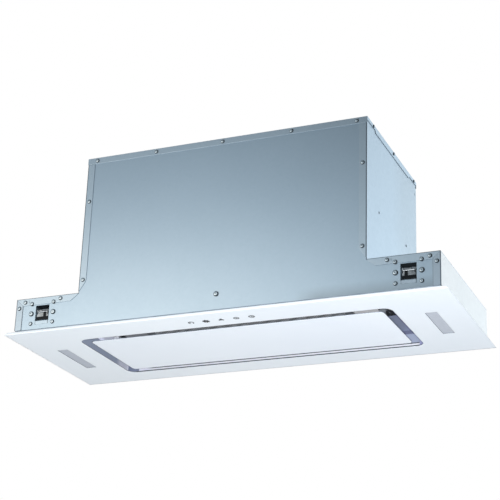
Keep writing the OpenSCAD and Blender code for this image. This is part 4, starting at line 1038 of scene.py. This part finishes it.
print("blade faces:", len(blade.data.polygons))

# %% [markdown]
# Forty blades stand in a circle. The helper for rings sets one blade on each point,
# turned outwards. It is easiest to think of a wheel that lies flat, so it is built that
# way and then laid on its shaft.

# %% Impeller


def wheel(tree, _, named):
    """Blades on a circle, with the rings, laid on the shaft."""
    count = named("Blades", "NodeSocketInt")
    one_blade = shape_of(tree, named("Blade", "NodeSocketObject"))
    rings = shape_of(tree, named("Rings", "NodeSocketObject"))
    radius = tree.nodes.new("ShaderNodeValue").outputs[0]
    radius.default_value = wheel_r - 7 * MM
    both = tree.nodes.new("GeometryNodeJoinGeometry")
    tree.links.new(around(tree, one_blade, count, radius), both.inputs[0])
    tree.links.new(rings, both.inputs[0])
    return moved(tree, both.outputs[0], motor_axis, (0, math.pi / 2, 0))


wheel_piece = grown("impeller_wheel", "black_plastic", wheel,
                    {"Blades": 40, "Blade": blade, "Rings": rims}, body="wheel", instead_of=("impeller",))
for helper in (screw_head, rivet_head, blade, rims):
    bpy.data.objects.remove(helper)
print("impeller faces:", len(wheel_piece.data.polygons))

# %% [markdown]
# A spring claw shows in each window of the base. Its web is a thin sheet with two pressed
# dimples, and ends at the top in a rolled hem, whose pale finish is a painted highlight: the
# bright line across the window. The CAD claw could be cut finer, but only its face shows, so a
# thin sheet is laid on it instead. Web and roll are two pieces with a finish each, and both
# ride on their claw.

# %% Webs and hems of the claws


def clip_point(x, y, z, side, end):
    """A point that is given from a clip's pin in millimetres, in the corner of that clip."""
    return Vector((side * (clip_x + x), end * (clip_y - y), clip_z + z)) * MM


web_top = -3.9
for side_name, side in (("left", -1), ("right", 1)):
    for end_name, end in (("front", -1), ("back", 1)):
        web, roll = bmesh.new(), bmesh.new()
        corners = (clip_point(-12.3, -2.9, -9.6, side, end), clip_point(12.3, -2, web_top, side, end))
        low, high = (Vector(map(pick, *corners)) for pick in (min, max))
        block(web, low, high, 0.0002)
        tube(roll, [clip_point(x, -2.1, web_top, side, end) for x in (-12.4, -4, 4, 12.4)], 0.8 * MM, 12)
        for x in (-6, 6):
            dimple = [clip_point(x, -2.95, z, side, end) for z in (-8.4, -7.6, -6.4, -5.6)]
            tube(web, dimple, 0.55 * MM, 10)
        claw = "claw_%s_%s" % (end_name, side_name)
        piece("web_of_" + claw, web, "claw_steel", claw)
        piece("roll_of_" + claw, roll, "roll_painted_highlight", claw)
print("claw hems: 4")

# %% [markdown]
# Pins and shafts are turned: a domed head, a groove for the snap ring, chamfered ends. A
# cylinder with a Bevel would have no groove, so a profile is turned instead. It is
# written in terms of radius and length, and one profile serves all of them.

# %% Pins and shaft


def along(way, at):
    """Turns a shape's Z to the X or Y axis and moves it to a point."""
    turn = Matrix.Rotation(math.pi / 2, 4, "Y") if way == "X" else Matrix.Rotation(-math.pi / 2, 4, "X")
    return Matrix.Translation(at) @ turn


def pin_profile(radius, length, groove):
    """A pin with a domed head at its start, a chamfer and a ring groove at its end."""
    return [(0, 0), (radius * 0.6, radius * 0.08), (radius * 0.9, radius * 0.35), (radius, radius * 0.7),
            (radius, length - groove - radius * 0.3), (radius * 0.8, length - groove - radius * 0.2),
            (radius * 0.8, length - groove), (radius, length - groove + radius * 0.1),
            (radius, length - radius * 0.3), (radius * 0.75, length), (0, length)]


pins = bmesh.new()
for side in (1, -1):
    for end in (1, -1):
        turned(pins, pin_profile(1.5 * MM, 36 * MM, 0.8 * MM),
               along("X", Vector((side * clip_x - 18, end * clip_y, clip_z)) * MM), 20)
piece("clip_pins_turned", pins, "bright_steel", instead_of=("clip_pins",))
low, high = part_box("damper_pin")
pins = bmesh.new()
turned(pins, pin_profile((high.z - low.z) / 2, high.x - low.x, 1.2 * MM),
       along("X", (low.x, (low.y + high.y) / 2, (low.z + high.z) / 2)), 20)
piece("damper_pin_turned", pins, "bright_steel", instead_of=("damper_pin",))
low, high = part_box("motor_shaft")
pins = bmesh.new()
turned(pins, pin_profile((high.z - low.z) / 2, high.x - low.x, 3 * MM),
       along("X", (low.x, motor_axis.y, motor_axis.z)), 32)
piece("motor_shaft_turned", pins, "bright_steel", instead_of=("motor_shaft",))
print("pins ready")

# %% [markdown]
# The motor's case is cast, with cooling grooves and three tie screws. The grooves could
# be cut with Booleans, but in a turned profile each one is only four points. The bushes
# are waisted, so that they can give. All of them stand round the impeller's axis.

# %% Motor and bushes


def across_shaft(radius, degrees):
    """A step away from the shaft, square to it, in the direction of an angle."""
    return Vector((0, radius * math.cos(math.radians(degrees)), radius * math.sin(math.radians(degrees))))


case = bmesh.new()
profile = [(0, -98), (19, -98), (20, -97), (20, -76), (43, -76), (45.4, -73.4)]
groove_pitch = 6.4
for k in range(9):
    x = -71 + groove_pitch * k
    profile += [(46, x), (46, x + 3), (43.6, x + 3.6), (43.6, x + 5.2)]
profile += [(46, -13), (45, -10), (43, -8), (30, -8), (28, -9), (12, -9), (11, -8), (4.2, -8), (4.2, -39),
            (0, -39)]
turned(case, mm(*profile), along("X", motor_axis), 64)
for a in (90, 210, 330):
    turned(case, mm((0, -8.4), (3.4, -8.4), (3.4, -7), (2.8, -6.3), (0, -6.1)),
           along("X", motor_axis + across_shaft(37 * MM, a)), 18)
piece("motor_case", case, "motor_alloy", instead_of=("motor",))
bushes = bmesh.new()
for a in (30, 150, 270):
    turned(bushes, mm((2.05, -98), (7, -98), (7, -96.6), (5.4, -95.6), (5.4, -93.4), (7, -92.4),
                      (7, -91), (2.05, -91)), along("X", motor_axis + across_shaft(101 * MM, a)), 28)
piece("motor_bushes_waisted", bushes, "rubber", instead_of=("motor_bushes",))
print("motor ready")

# %% [markdown]
# The electrics have a capacitor, a can with a crimped rim and four tags, and a box whose
# lid has ribs and corner screws. The can is round all over, so it is turned. The ribs are
# one small block that the tree for rows repeats, which keeps their count and distance in
# one place.

# %% Capacitor and lid
low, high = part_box("capacitor")
mid = (low + high) / 2
can, tags = bmesh.new(), bmesh.new()
r, length = (high.x - low.x) / 2, high.y - low.y
turned(can, [(0, 0), (r - 0.0014, 0), (r, 0.0014), (r, length - 0.011), (r - 0.0007, length - 0.0102),
             (r - 0.0007, length - 0.0094), (r, length - 0.0086), (r, length - 0.006),
             (r - 0.0018, length - 0.005), (0, length - 0.0046)], along("Y", (mid.x, low.y, mid.z)), 40)
for x in (-5, 5):
    for z in (-2.5, 2.5):
        block(tags, (mid.x + x * MM - 0.0004, high.y - 0.006, mid.z + z * MM - 0.0016),
              (mid.x + x * MM + 0.0004, high.y, mid.z + z * MM + 0.0016), 0.0002)
piece("capacitor_can", can, "lamp_tray", instead_of=("capacitor",))
piece("capacitor_tags", tags, "bright_steel")

low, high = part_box("electrics_cover")
lid, rib, corner = bmesh.new(), bmesh.new(), bmesh.new()
block(lid, low, high, 0.0005)
piece("electrics_lid", lid, "lamp_tray", instead_of=("electrics_cover",))
block(rib, (high.x - 0.0003, low.y + 0.016, low.z + 0.012),
      (high.x + 0.0012, low.y + 0.0175, high.z - 0.012), 0.0003)
repeated("electrics_lid_ribs", "lamp_tray", rib, in_row, {"Count": 12, "Step": (0, 0.0078, 0)})
for y in (low.y + 0.006, high.y - 0.006):
    for z in (low.z + 0.006, high.z - 0.006):
        turned(corner, mm((0, -0.3), (3, -0.3), (3, 0.6), (2.2, 1.3), (0.7, 1.5), (0.6, 0.9), (0, 0.9)),
               along("X", (high.x, y, z)), 20)
piece("electrics_lid_screws", corner, "bright_steel")
print("capacitor and lid ready")

# %% [markdown]
# The terminal block has dividers between its screws, and the supply of the lamps sits in
# a ribbed case. Both could be cut out of one block each. Small eased blocks set on a
# larger one look the same and keep their edges clean.

# %% Terminal block and supply
low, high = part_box("terminal_block")
divider, clamp = bmesh.new(), bmesh.new()
block(divider, (low.x + 0.001, low.y + 0.0005, high.z - 0.0002),
      (high.x - 0.001, low.y + 0.0017, high.z + 0.0022), 0.0003)
repeated("terminal_dividers", "lamp_tray", divider, in_row, {"Count": 4, "Step": (0, 0.0182, 0)})
turned(clamp, mm((0, 0), (3.3, 0), (3.3, 1.1), (2.7, 1.6), (1.2, 1.7), (1, 0.9), (0, 0.9)),
       Matrix.Translation(((low.x + high.x) / 2, (low.y + high.y) / 2 - 0.018, high.z - 0.0002)), 20)
repeated("terminal_screws", "bright_steel", clamp, in_row, {"Count": 3, "Step": (0, 0.018, 0)})

low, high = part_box("lamp_driver")
case, rib = bmesh.new(), bmesh.new()
block(case, (low.x, low.y + 0.012, low.z + 0.0014), (high.x, high.y - 0.012, high.z), 0.0015)
block(case, (low.x + 0.006, low.y, low.z + 0.006), (high.x - 0.006, high.y, high.z - 0.001), 0.0012)
piece("lamp_driver_case", case, "lamp_tray", instead_of=("lamp_driver",))
block(rib, (low.x + 0.004, low.y + 0.018, low.z), (high.x - 0.004, low.y + 0.0198, low.z + 0.0016), 0.0003)
repeated("lamp_driver_ribs", "lamp_tray", rib, in_row, {"Count": 15, "Step": (0, 0.0059, 0)})
print("terminal block and supply ready")

# %% [markdown]
# The touch board carries a sensor chip for each key and a controller, the pads are dished
# discs, and each light chip on the lamps' boards has a clear dome. A real board holds
# many more parts. Only those that give it its look are made, as rows of one shape each.

# %% Boards
low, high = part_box("touch_board")
board, chip, chips, pad = (bmesh.new() for _ in range(4))
key_pitch = 0.031
block(board, low, high, 0.0003)
piece("touch_board_sheet", board, "circuit_board", instead_of=("touch_board",))
block(chip, (-0.0642, low.y + 0.0052, high.z - 0.0001), (-0.0598, low.y + 0.0088, high.z + 0.0009), 0.0001)
repeated("touch_chips", "black_plastic", chip, in_row, {"Count": 5, "Step": (key_pitch, 0, 0)})
block(chips, (0.0105, low.y + 0.0035, high.z - 0.0001), (0.0205, low.y + 0.0105, high.z + 0.0012), 0.0002)
block(chips, (-0.0205, low.y + 0.004, high.z - 0.0001), (-0.0105, low.y + 0.0095, high.z + 0.0042), 0.0004)
piece("touch_controller", chips, "black_plastic")
low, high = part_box("touch_pads")
turned(pad, mm((0, 0), (5, 0), (5, 1.3), (4.6, 1.6), (3.4, 1.6), (3, 1.2), (0, 1.2)),
       Matrix.Translation((low.x + 0.005, (low.y + high.y) / 2, low.z)), 28)
repeated("touch_pads_dished", "copper_pad", pad, in_row, {"Count": 5, "Step": (key_pitch, 0, 0)},
         instead_of=("touch_pads",))
low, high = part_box("lamp_boards")
lamp_x, lamp_y, lamp_z, light_step, dome_r = 0.3845, 0.003, low.z + 0.0002, 0.019, 2.3 * MM
dome_line = [(dome_r * math.cos(math.radians(a)), -dome_r * math.sin(math.radians(a)))
             for a in range(0, 90, 18)] + [(0, -dome_r), (0, 0.1 * MM)]
for name, x in (("left", -lamp_x), ("right", lamp_x)):
    dome, part = bmesh.new(), bmesh.new()
    turned(dome, dome_line, Matrix.Translation((x, lamp_y - 0.0475, lamp_z)), 20)
    repeated("light_domes_" + name, "lamp_lens", dome, in_row, {"Count": 6, "Step": (0, light_step, 0)})
    block(part, (x - 0.0055, lamp_y - 0.04, lamp_z), (x - 0.0035, lamp_y - 0.037, low.z + 0.0011), 0.0001)
    repeated("light_resistors_" + name, "black_plastic", part, in_row,
             {"Count": 5, "Step": (0, light_step, 0)})
print("boards ready")

# %% [markdown]
# The outlet collar is moulded, with two beads for the duct's clamp and a ring of gussets
# on its flange. The nut of the gland has grip ribs. Beads are round and are turned.
# Gussets and ribs stand in rings, so the tree for rings makes both.

# %% Collar and gland
low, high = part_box("outlet_collar")
centre = Vector(((low.x + high.x) / 2, (low.y + high.y) / 2, low.z))
bead, gusset, collar_r = bmesh.new(), bmesh.new(), 74
for z in (31, 38):
    turned(bead, mm((73.4, z), (74.8, z), (75.2, z + 0.8), (75.2, z + 1.4), (74.8, z + 2.2), (73.4, z + 2.2)),
           Matrix.Translation(centre), 72)
piece("collar_beads", bead, "black_plastic")
corners = [(73.8, 2.9), (84.5, 2.9), (84.5, 3.8), (75, 11), (73.8, 11)]
sides = [[gusset.verts.new(((r - collar_r) * MM, y * MM, z * MM)) for r, z in corners]
         for y in (-0.8, 0.8)]
gusset.faces.new(sides[0])
gusset.faces.new(sides[1][::-1])
walls(gusset, *sides)
repeated("collar_gussets", "black_plastic", gusset, in_ring,
         {"Count": 12, "Radius": collar_r * MM, "Centre": tuple(centre)})

low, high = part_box("cable_gland")
grip, collar_rise = bmesh.new(), 0.045
block(grip, (-0.0004, -0.0006, 0.0052), (0.0009, 0.0006, 0.0098), 0.0002)
nut_centre = ((low.x + high.x) / 2, (low.y + high.y) / 2, cad_high.z - collar_rise)
repeated("gland_grip", "black_plastic", grip, in_ring, {"Count": 18, "Radius": 0.0085, "Centre": nut_centre})
print("collar and gland ready")

# %% [markdown]
# Two catches hold the plate up at its front corners. Each is a block with two pole strips
# and two screws. They show only as dark marks in the gap, so plain eased blocks are
# enough. Left and right are one piece, because neither moves.

# %% Catches
holders, poles = bmesh.new(), bmesh.new()
low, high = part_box("plate_magnets")
catch_in, catch_out, strip = 0.2695, 0.2925, 0.0012
for side in (-1, 1):
    x0, x1 = sorted((side * catch_in, side * catch_out))
    block(holders, (x0, low.y, low.z + 0.0002), (x1, high.y, high.z), 0.0007)
    for x in (x0 + 0.007, x1 - 0.007):
        block(poles, (x - strip, low.y + 0.009, low.z), (x + strip, high.y - 0.009, low.z + 0.0008), 0.0002)
    for y in (low.y + 0.0045, high.y - 0.0045):
        turned(poles, mm((0, 0.6), (3, 0.6), (3, 0.2), (2.4, 0), (0.8, 0), (0.7, 0.4), (0, 0.4)),
               Matrix.Translation(((x0 + x1) / 2, y, low.z)), 18)
piece("catch_holders", holders, "catch_black", instead_of=("plate_magnets",))
piece("catch_poles", poles, "bright_steel")
print("catches ready")

# %% [markdown]
# The filter's frame has a raised bead that stiffens it, and its latches have ridges for a
# finger. The bead could be pressed into the frame's own mesh. A thin tube along the frame
# looks the same and leaves the CAD node alone. In front it stops short of the two
# latches, so that they can slide.

# %% Filter frame and latches
low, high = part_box("filter_frame")
edge, bead_x, front_y, back_y = bmesh.new(), 0.2105, low.y + 0.0185, high.y - 0.0135
latch_in, latch_out = 0.111, 0.129
lines = [[(x, y) for y in (low.y + 0.012, 0, high.y - 0.012)] for x in (-bead_x, bead_x)]
for x0, x1, y in ((-bead_x, bead_x, back_y), (-bead_x, -latch_out, front_y),
                  (-latch_in, latch_in, front_y), (latch_out, bead_x, front_y)):
    lines.append([(x0, y), ((x0 + x1) / 2, y), (x1, y)])
for line in lines:
    tube(edge, [Vector((x, y, low.z + 0.0001)) for x, y in line], 0.0008, 10)
piece("filter_frame_bead", edge, "filter_aluminium")
for side in ("left", "right"):
    low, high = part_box("filter_latch_" + side)
    ridge = bmesh.new()
    x = (low.x + high.x) / 2
    block(ridge, (x - 0.0036, low.y + 0.0109, low.z - 0.0003),
          (x + 0.0036, low.y + 0.0116, low.z + 0.0003), 0.0001)
    repeated("latch_ridges_" + side, "bright_steel", ridge, in_row, {"Count": 4, "Step": (0, 0.0017, 0)},
             body="latch_" + side)
print("filter frame and latches ready")

# %% [markdown]
# The touch keys are printed on the panel in grey: on and off, light, fan, air and timer.
# A picture on the panel would blur close up, so each symbol is drawn with short bars.
# They have a hair of thickness, like ink on paint, and never flicker against the sheet.

# %% Touch key symbols
finishes["key_ink"] = grained("key_ink", (0.03, 0.036, 0.045), (0.06, 0.07, 0.085), 0, 0.5, 900, 0.00001)
key_xs = [key_pitch * k for k in range(-2, 3)]
key_y, grow, bold, bold_in_middle = -0.1365, 1.25, 0.0007, 0.0019
ink_z, ink_half = -0.00008, 0.00006


def bar(shape, x, y, w, d, turn=0.0):
    """A thin printed bar on the panel's underside, grown from its key's middle and made bolder."""
    nearest = min(key_xs, key=lambda key: abs(key - x))
    place = Matrix.Translation((nearest + grow * (x - nearest), key_y + grow * (y - key_y), ink_z))
    more = bold_in_middle if nearest in key_xs[1:3] else bold
    w, d = grow * w + more, grow * d + more
    block(shape, (-w / 2, -d / 2, -ink_half), (w / 2, d / 2, ink_half),
          place=place @ Matrix.Rotation(turn, 4, "Z"))


def ring(shape, x, y, radius, width, start=0.0, sweep=360.0):
    """A printed ring or arc, built from short bars that overlap a little."""
    steps, overlap = max(8, int(28 * sweep / 360)), 1.25
    for i in range(steps):
        a = math.radians(start + sweep * (i + 0.5) / steps)
        length = 2 * radius * math.sin(math.radians(sweep / steps / 2)) * overlap
        bar(shape, x + radius * math.cos(a), y + radius * math.sin(a), width, length, a)


ink_shape = bmesh.new()
ring(ink_shape, key_xs[0], key_y, 0.0038, 0.0012, 120, 300)
bar(ink_shape, key_xs[0], key_y - 0.0032, 0.0012, 0.0036)
ring(ink_shape, key_xs[1], key_y, 0.0025, 0.0013)
for k in range(8):
    a = math.radians(45 * k)
    bar(ink_shape, key_xs[1] + 0.0043 * math.cos(a), key_y + 0.0043 * math.sin(a), 0.0016, 0.001, a)
for k in range(3):
    a = math.radians(30 + 120 * k)
    bar(ink_shape, key_xs[2] + 0.0022 * math.cos(a), key_y + 0.0022 * math.sin(a), 0.0034, 0.0016, a + 0.5)
ring(ink_shape, key_xs[3], key_y, 0.0038, 0.001)
bar(ink_shape, key_xs[3], key_y, 0.0022, 0.0022)
ring(ink_shape, key_xs[4], key_y, 0.004, 0.0012)
bar(ink_shape, key_xs[4], key_y - 0.0012, 0.0012, 0.0028)
bar(ink_shape, key_xs[4] + 0.0009, key_y, 0.0024, 0.0012)
ink_mesh = solid("key_symbols", ink_shape)
ink_mesh.materials.append(finishes["key_ink"])
link("key_symbols", ink_mesh, "housing")
print("key symbols:", len(key_xs))

# %% [markdown]
# Bright sheet metal looks like whatever it mirrors, and in an empty white room it would
# be one flat tone. Softboxes could be modelled, but they would light the paint too. So
# there are cards that only gloss can see. One stands in front, bright at its lower left,
# and the front sheet shows it as a soft glow. A bright one stands behind on the right,
# for the faces that look right. A dark one gives the rounded corners their dark line.

# %% Reflector cards


def stops(tree, source, points, largest):
    """A smooth line through points of (coordinate, value), divided by the largest value."""
    first, last = points[0][0], points[-1][0]
    line = tree.nodes.new("ShaderNodeValToRGB")
    line.color_ramp.interpolation = "B_SPLINE"
    while len(line.color_ramp.elements) < len(points):
        line.color_ramp.elements.new(0.5)
    for element, (at, value) in zip(line.color_ramp.elements, points):
        element.position = (at - first) / (last - first)
        element.color = (*[value / largest] * 3, 1)
    tree.links.new(vary(tree, source, 0, 1, first, last), line.inputs["Fac"])
    return line.outputs["Color"]


def card(name, y, cover, across, up, tint=((0.94, 1.02, 1.08), (1.08, 1.0, 0.93))):
    """A reflector in the XZ plane, seen by glossy rays only. Its brightness is the product
    of two lines: one across, over x, and one up, over z."""
    (x0, x1), (z0, z1) = cover
    corners = [(x0, y, z0), (x1, y, z0), (x1, y, z1), (x0, y, z1)]
    board = link(name, plain_mesh(name, corners, [(0, 1, 2, 3)]))
    made = bpy.data.materials.new(name)
    made.use_nodes = True
    tree = made.node_tree
    tree.nodes.clear()
    largest = max(value for _, value in across), max(value for _, value in up)
    level = maths(tree, "MULTIPLY", stops(tree, coordinate(tree, "X"), across, largest[0]),
                  stops(tree, coordinate(tree, "Z"), up, largest[1]))
    glow = tree.nodes.new("ShaderNodeEmission")
    tree.links.new(vary(tree, level, 0, largest[0] * largest[1]), glow.inputs["Strength"])
    tree.links.new(ramp(tree, level, tint[0], tint[1], 0.2, 0.8), glow.inputs["Color"])
    tree.links.new(glow.outputs[0], tree.nodes.new("ShaderNodeOutputMaterial").inputs["Surface"])
    board.data.materials.append(made)
    board.visible_camera = board.visible_diffuse = board.visible_shadow = False
    board.visible_transmission = board.visible_volume_scatter = False
    board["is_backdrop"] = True


def mirrored(points, camera_at, reach=0.25):
    """Moves points on a face to where a card that stands a part of the camera's path away shows them."""
    return [(at + reach * (at - camera_at), value) for at, value in points]


camera_x, camera_z = 1.0685, -0.889
across_front = [(-0.7, 0.95), (-0.4, 1.02), (-0.2, 1.08), (0, 1.0), (0.27, 0.62), (0.43, 0.42), (0.7, 0.3)]
up_front = [(-0.15, 2.5), (0.05, 2.05), (0.09, 1.65), (0.2, 1.02), (0.36, 0.57), (0.6, 0.38)]
card("card_front", -0.745, ((-2.4, 1.5), (-0.5, 1.7)), mirrored(across_front, camera_x),
     mirrored(up_front, camera_z), ((0.95, 1.02, 1.06), (1.1, 1.0, 0.9)))
card("card_right", 1.3, ((0.1, 1.5), (0.0, 1.8)), [(0.6, 1.0), (0.85, 1.0)],
     [(0.4, 1.95), (0.7, 1.75), (1.15, 1.25)], ((0.88, 0.99, 1.07), (0.92, 1.0, 1.05)))
card("card_corner", -0.46, ((0.55, 2.8), (-0.1, 1.8)), [(0.55, 0.1), (2.8, 0.1)], [(-0.1, 1), (1.8, 1)])
print("3 cards ready")

# %% [markdown]
# Paint and recess need light with a direction, and the world gives none. A large area
# lamp in front makes soft shade. A small strong one stands beside the camera and lights
# what faces down. A sun lamp would be simpler, but its shadows are hard. Neither lamp
# shows in the sheets, because that is the cards' work.

# %% Lamps


def lamp(name, place, target, size, power):
    """A square area lamp that looks at a point and doesn't show itself to the camera."""
    data = bpy.data.lights.new(name, "AREA")
    data.size = size
    data.energy = power
    made = bpy.data.objects.new(name, data)
    bpy.context.collection.objects.link(made)
    made.location = place
    made.rotation_euler = (Vector(target) - Vector(place)).to_track_quat("-Z", "Y").to_euler()
    made.visible_camera = made.visible_glossy = False


lamp("front", (-0.5, -3.0, 0.25), (0, -0.1, 0.1), 1.2, 28)
lamp("fill", (0.97, -2.2, -0.78), (0.2, 0, 0.05), 0.16, 128)
print("2 lamps ready")

# %% [markdown]
# Last, the size of the finished hood is printed. It should match the size of the CAD model's
# box, because finer pieces must not make the hood larger.

# %% Finish
low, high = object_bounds()
print("size", [round(v, 4) for v in high - low])
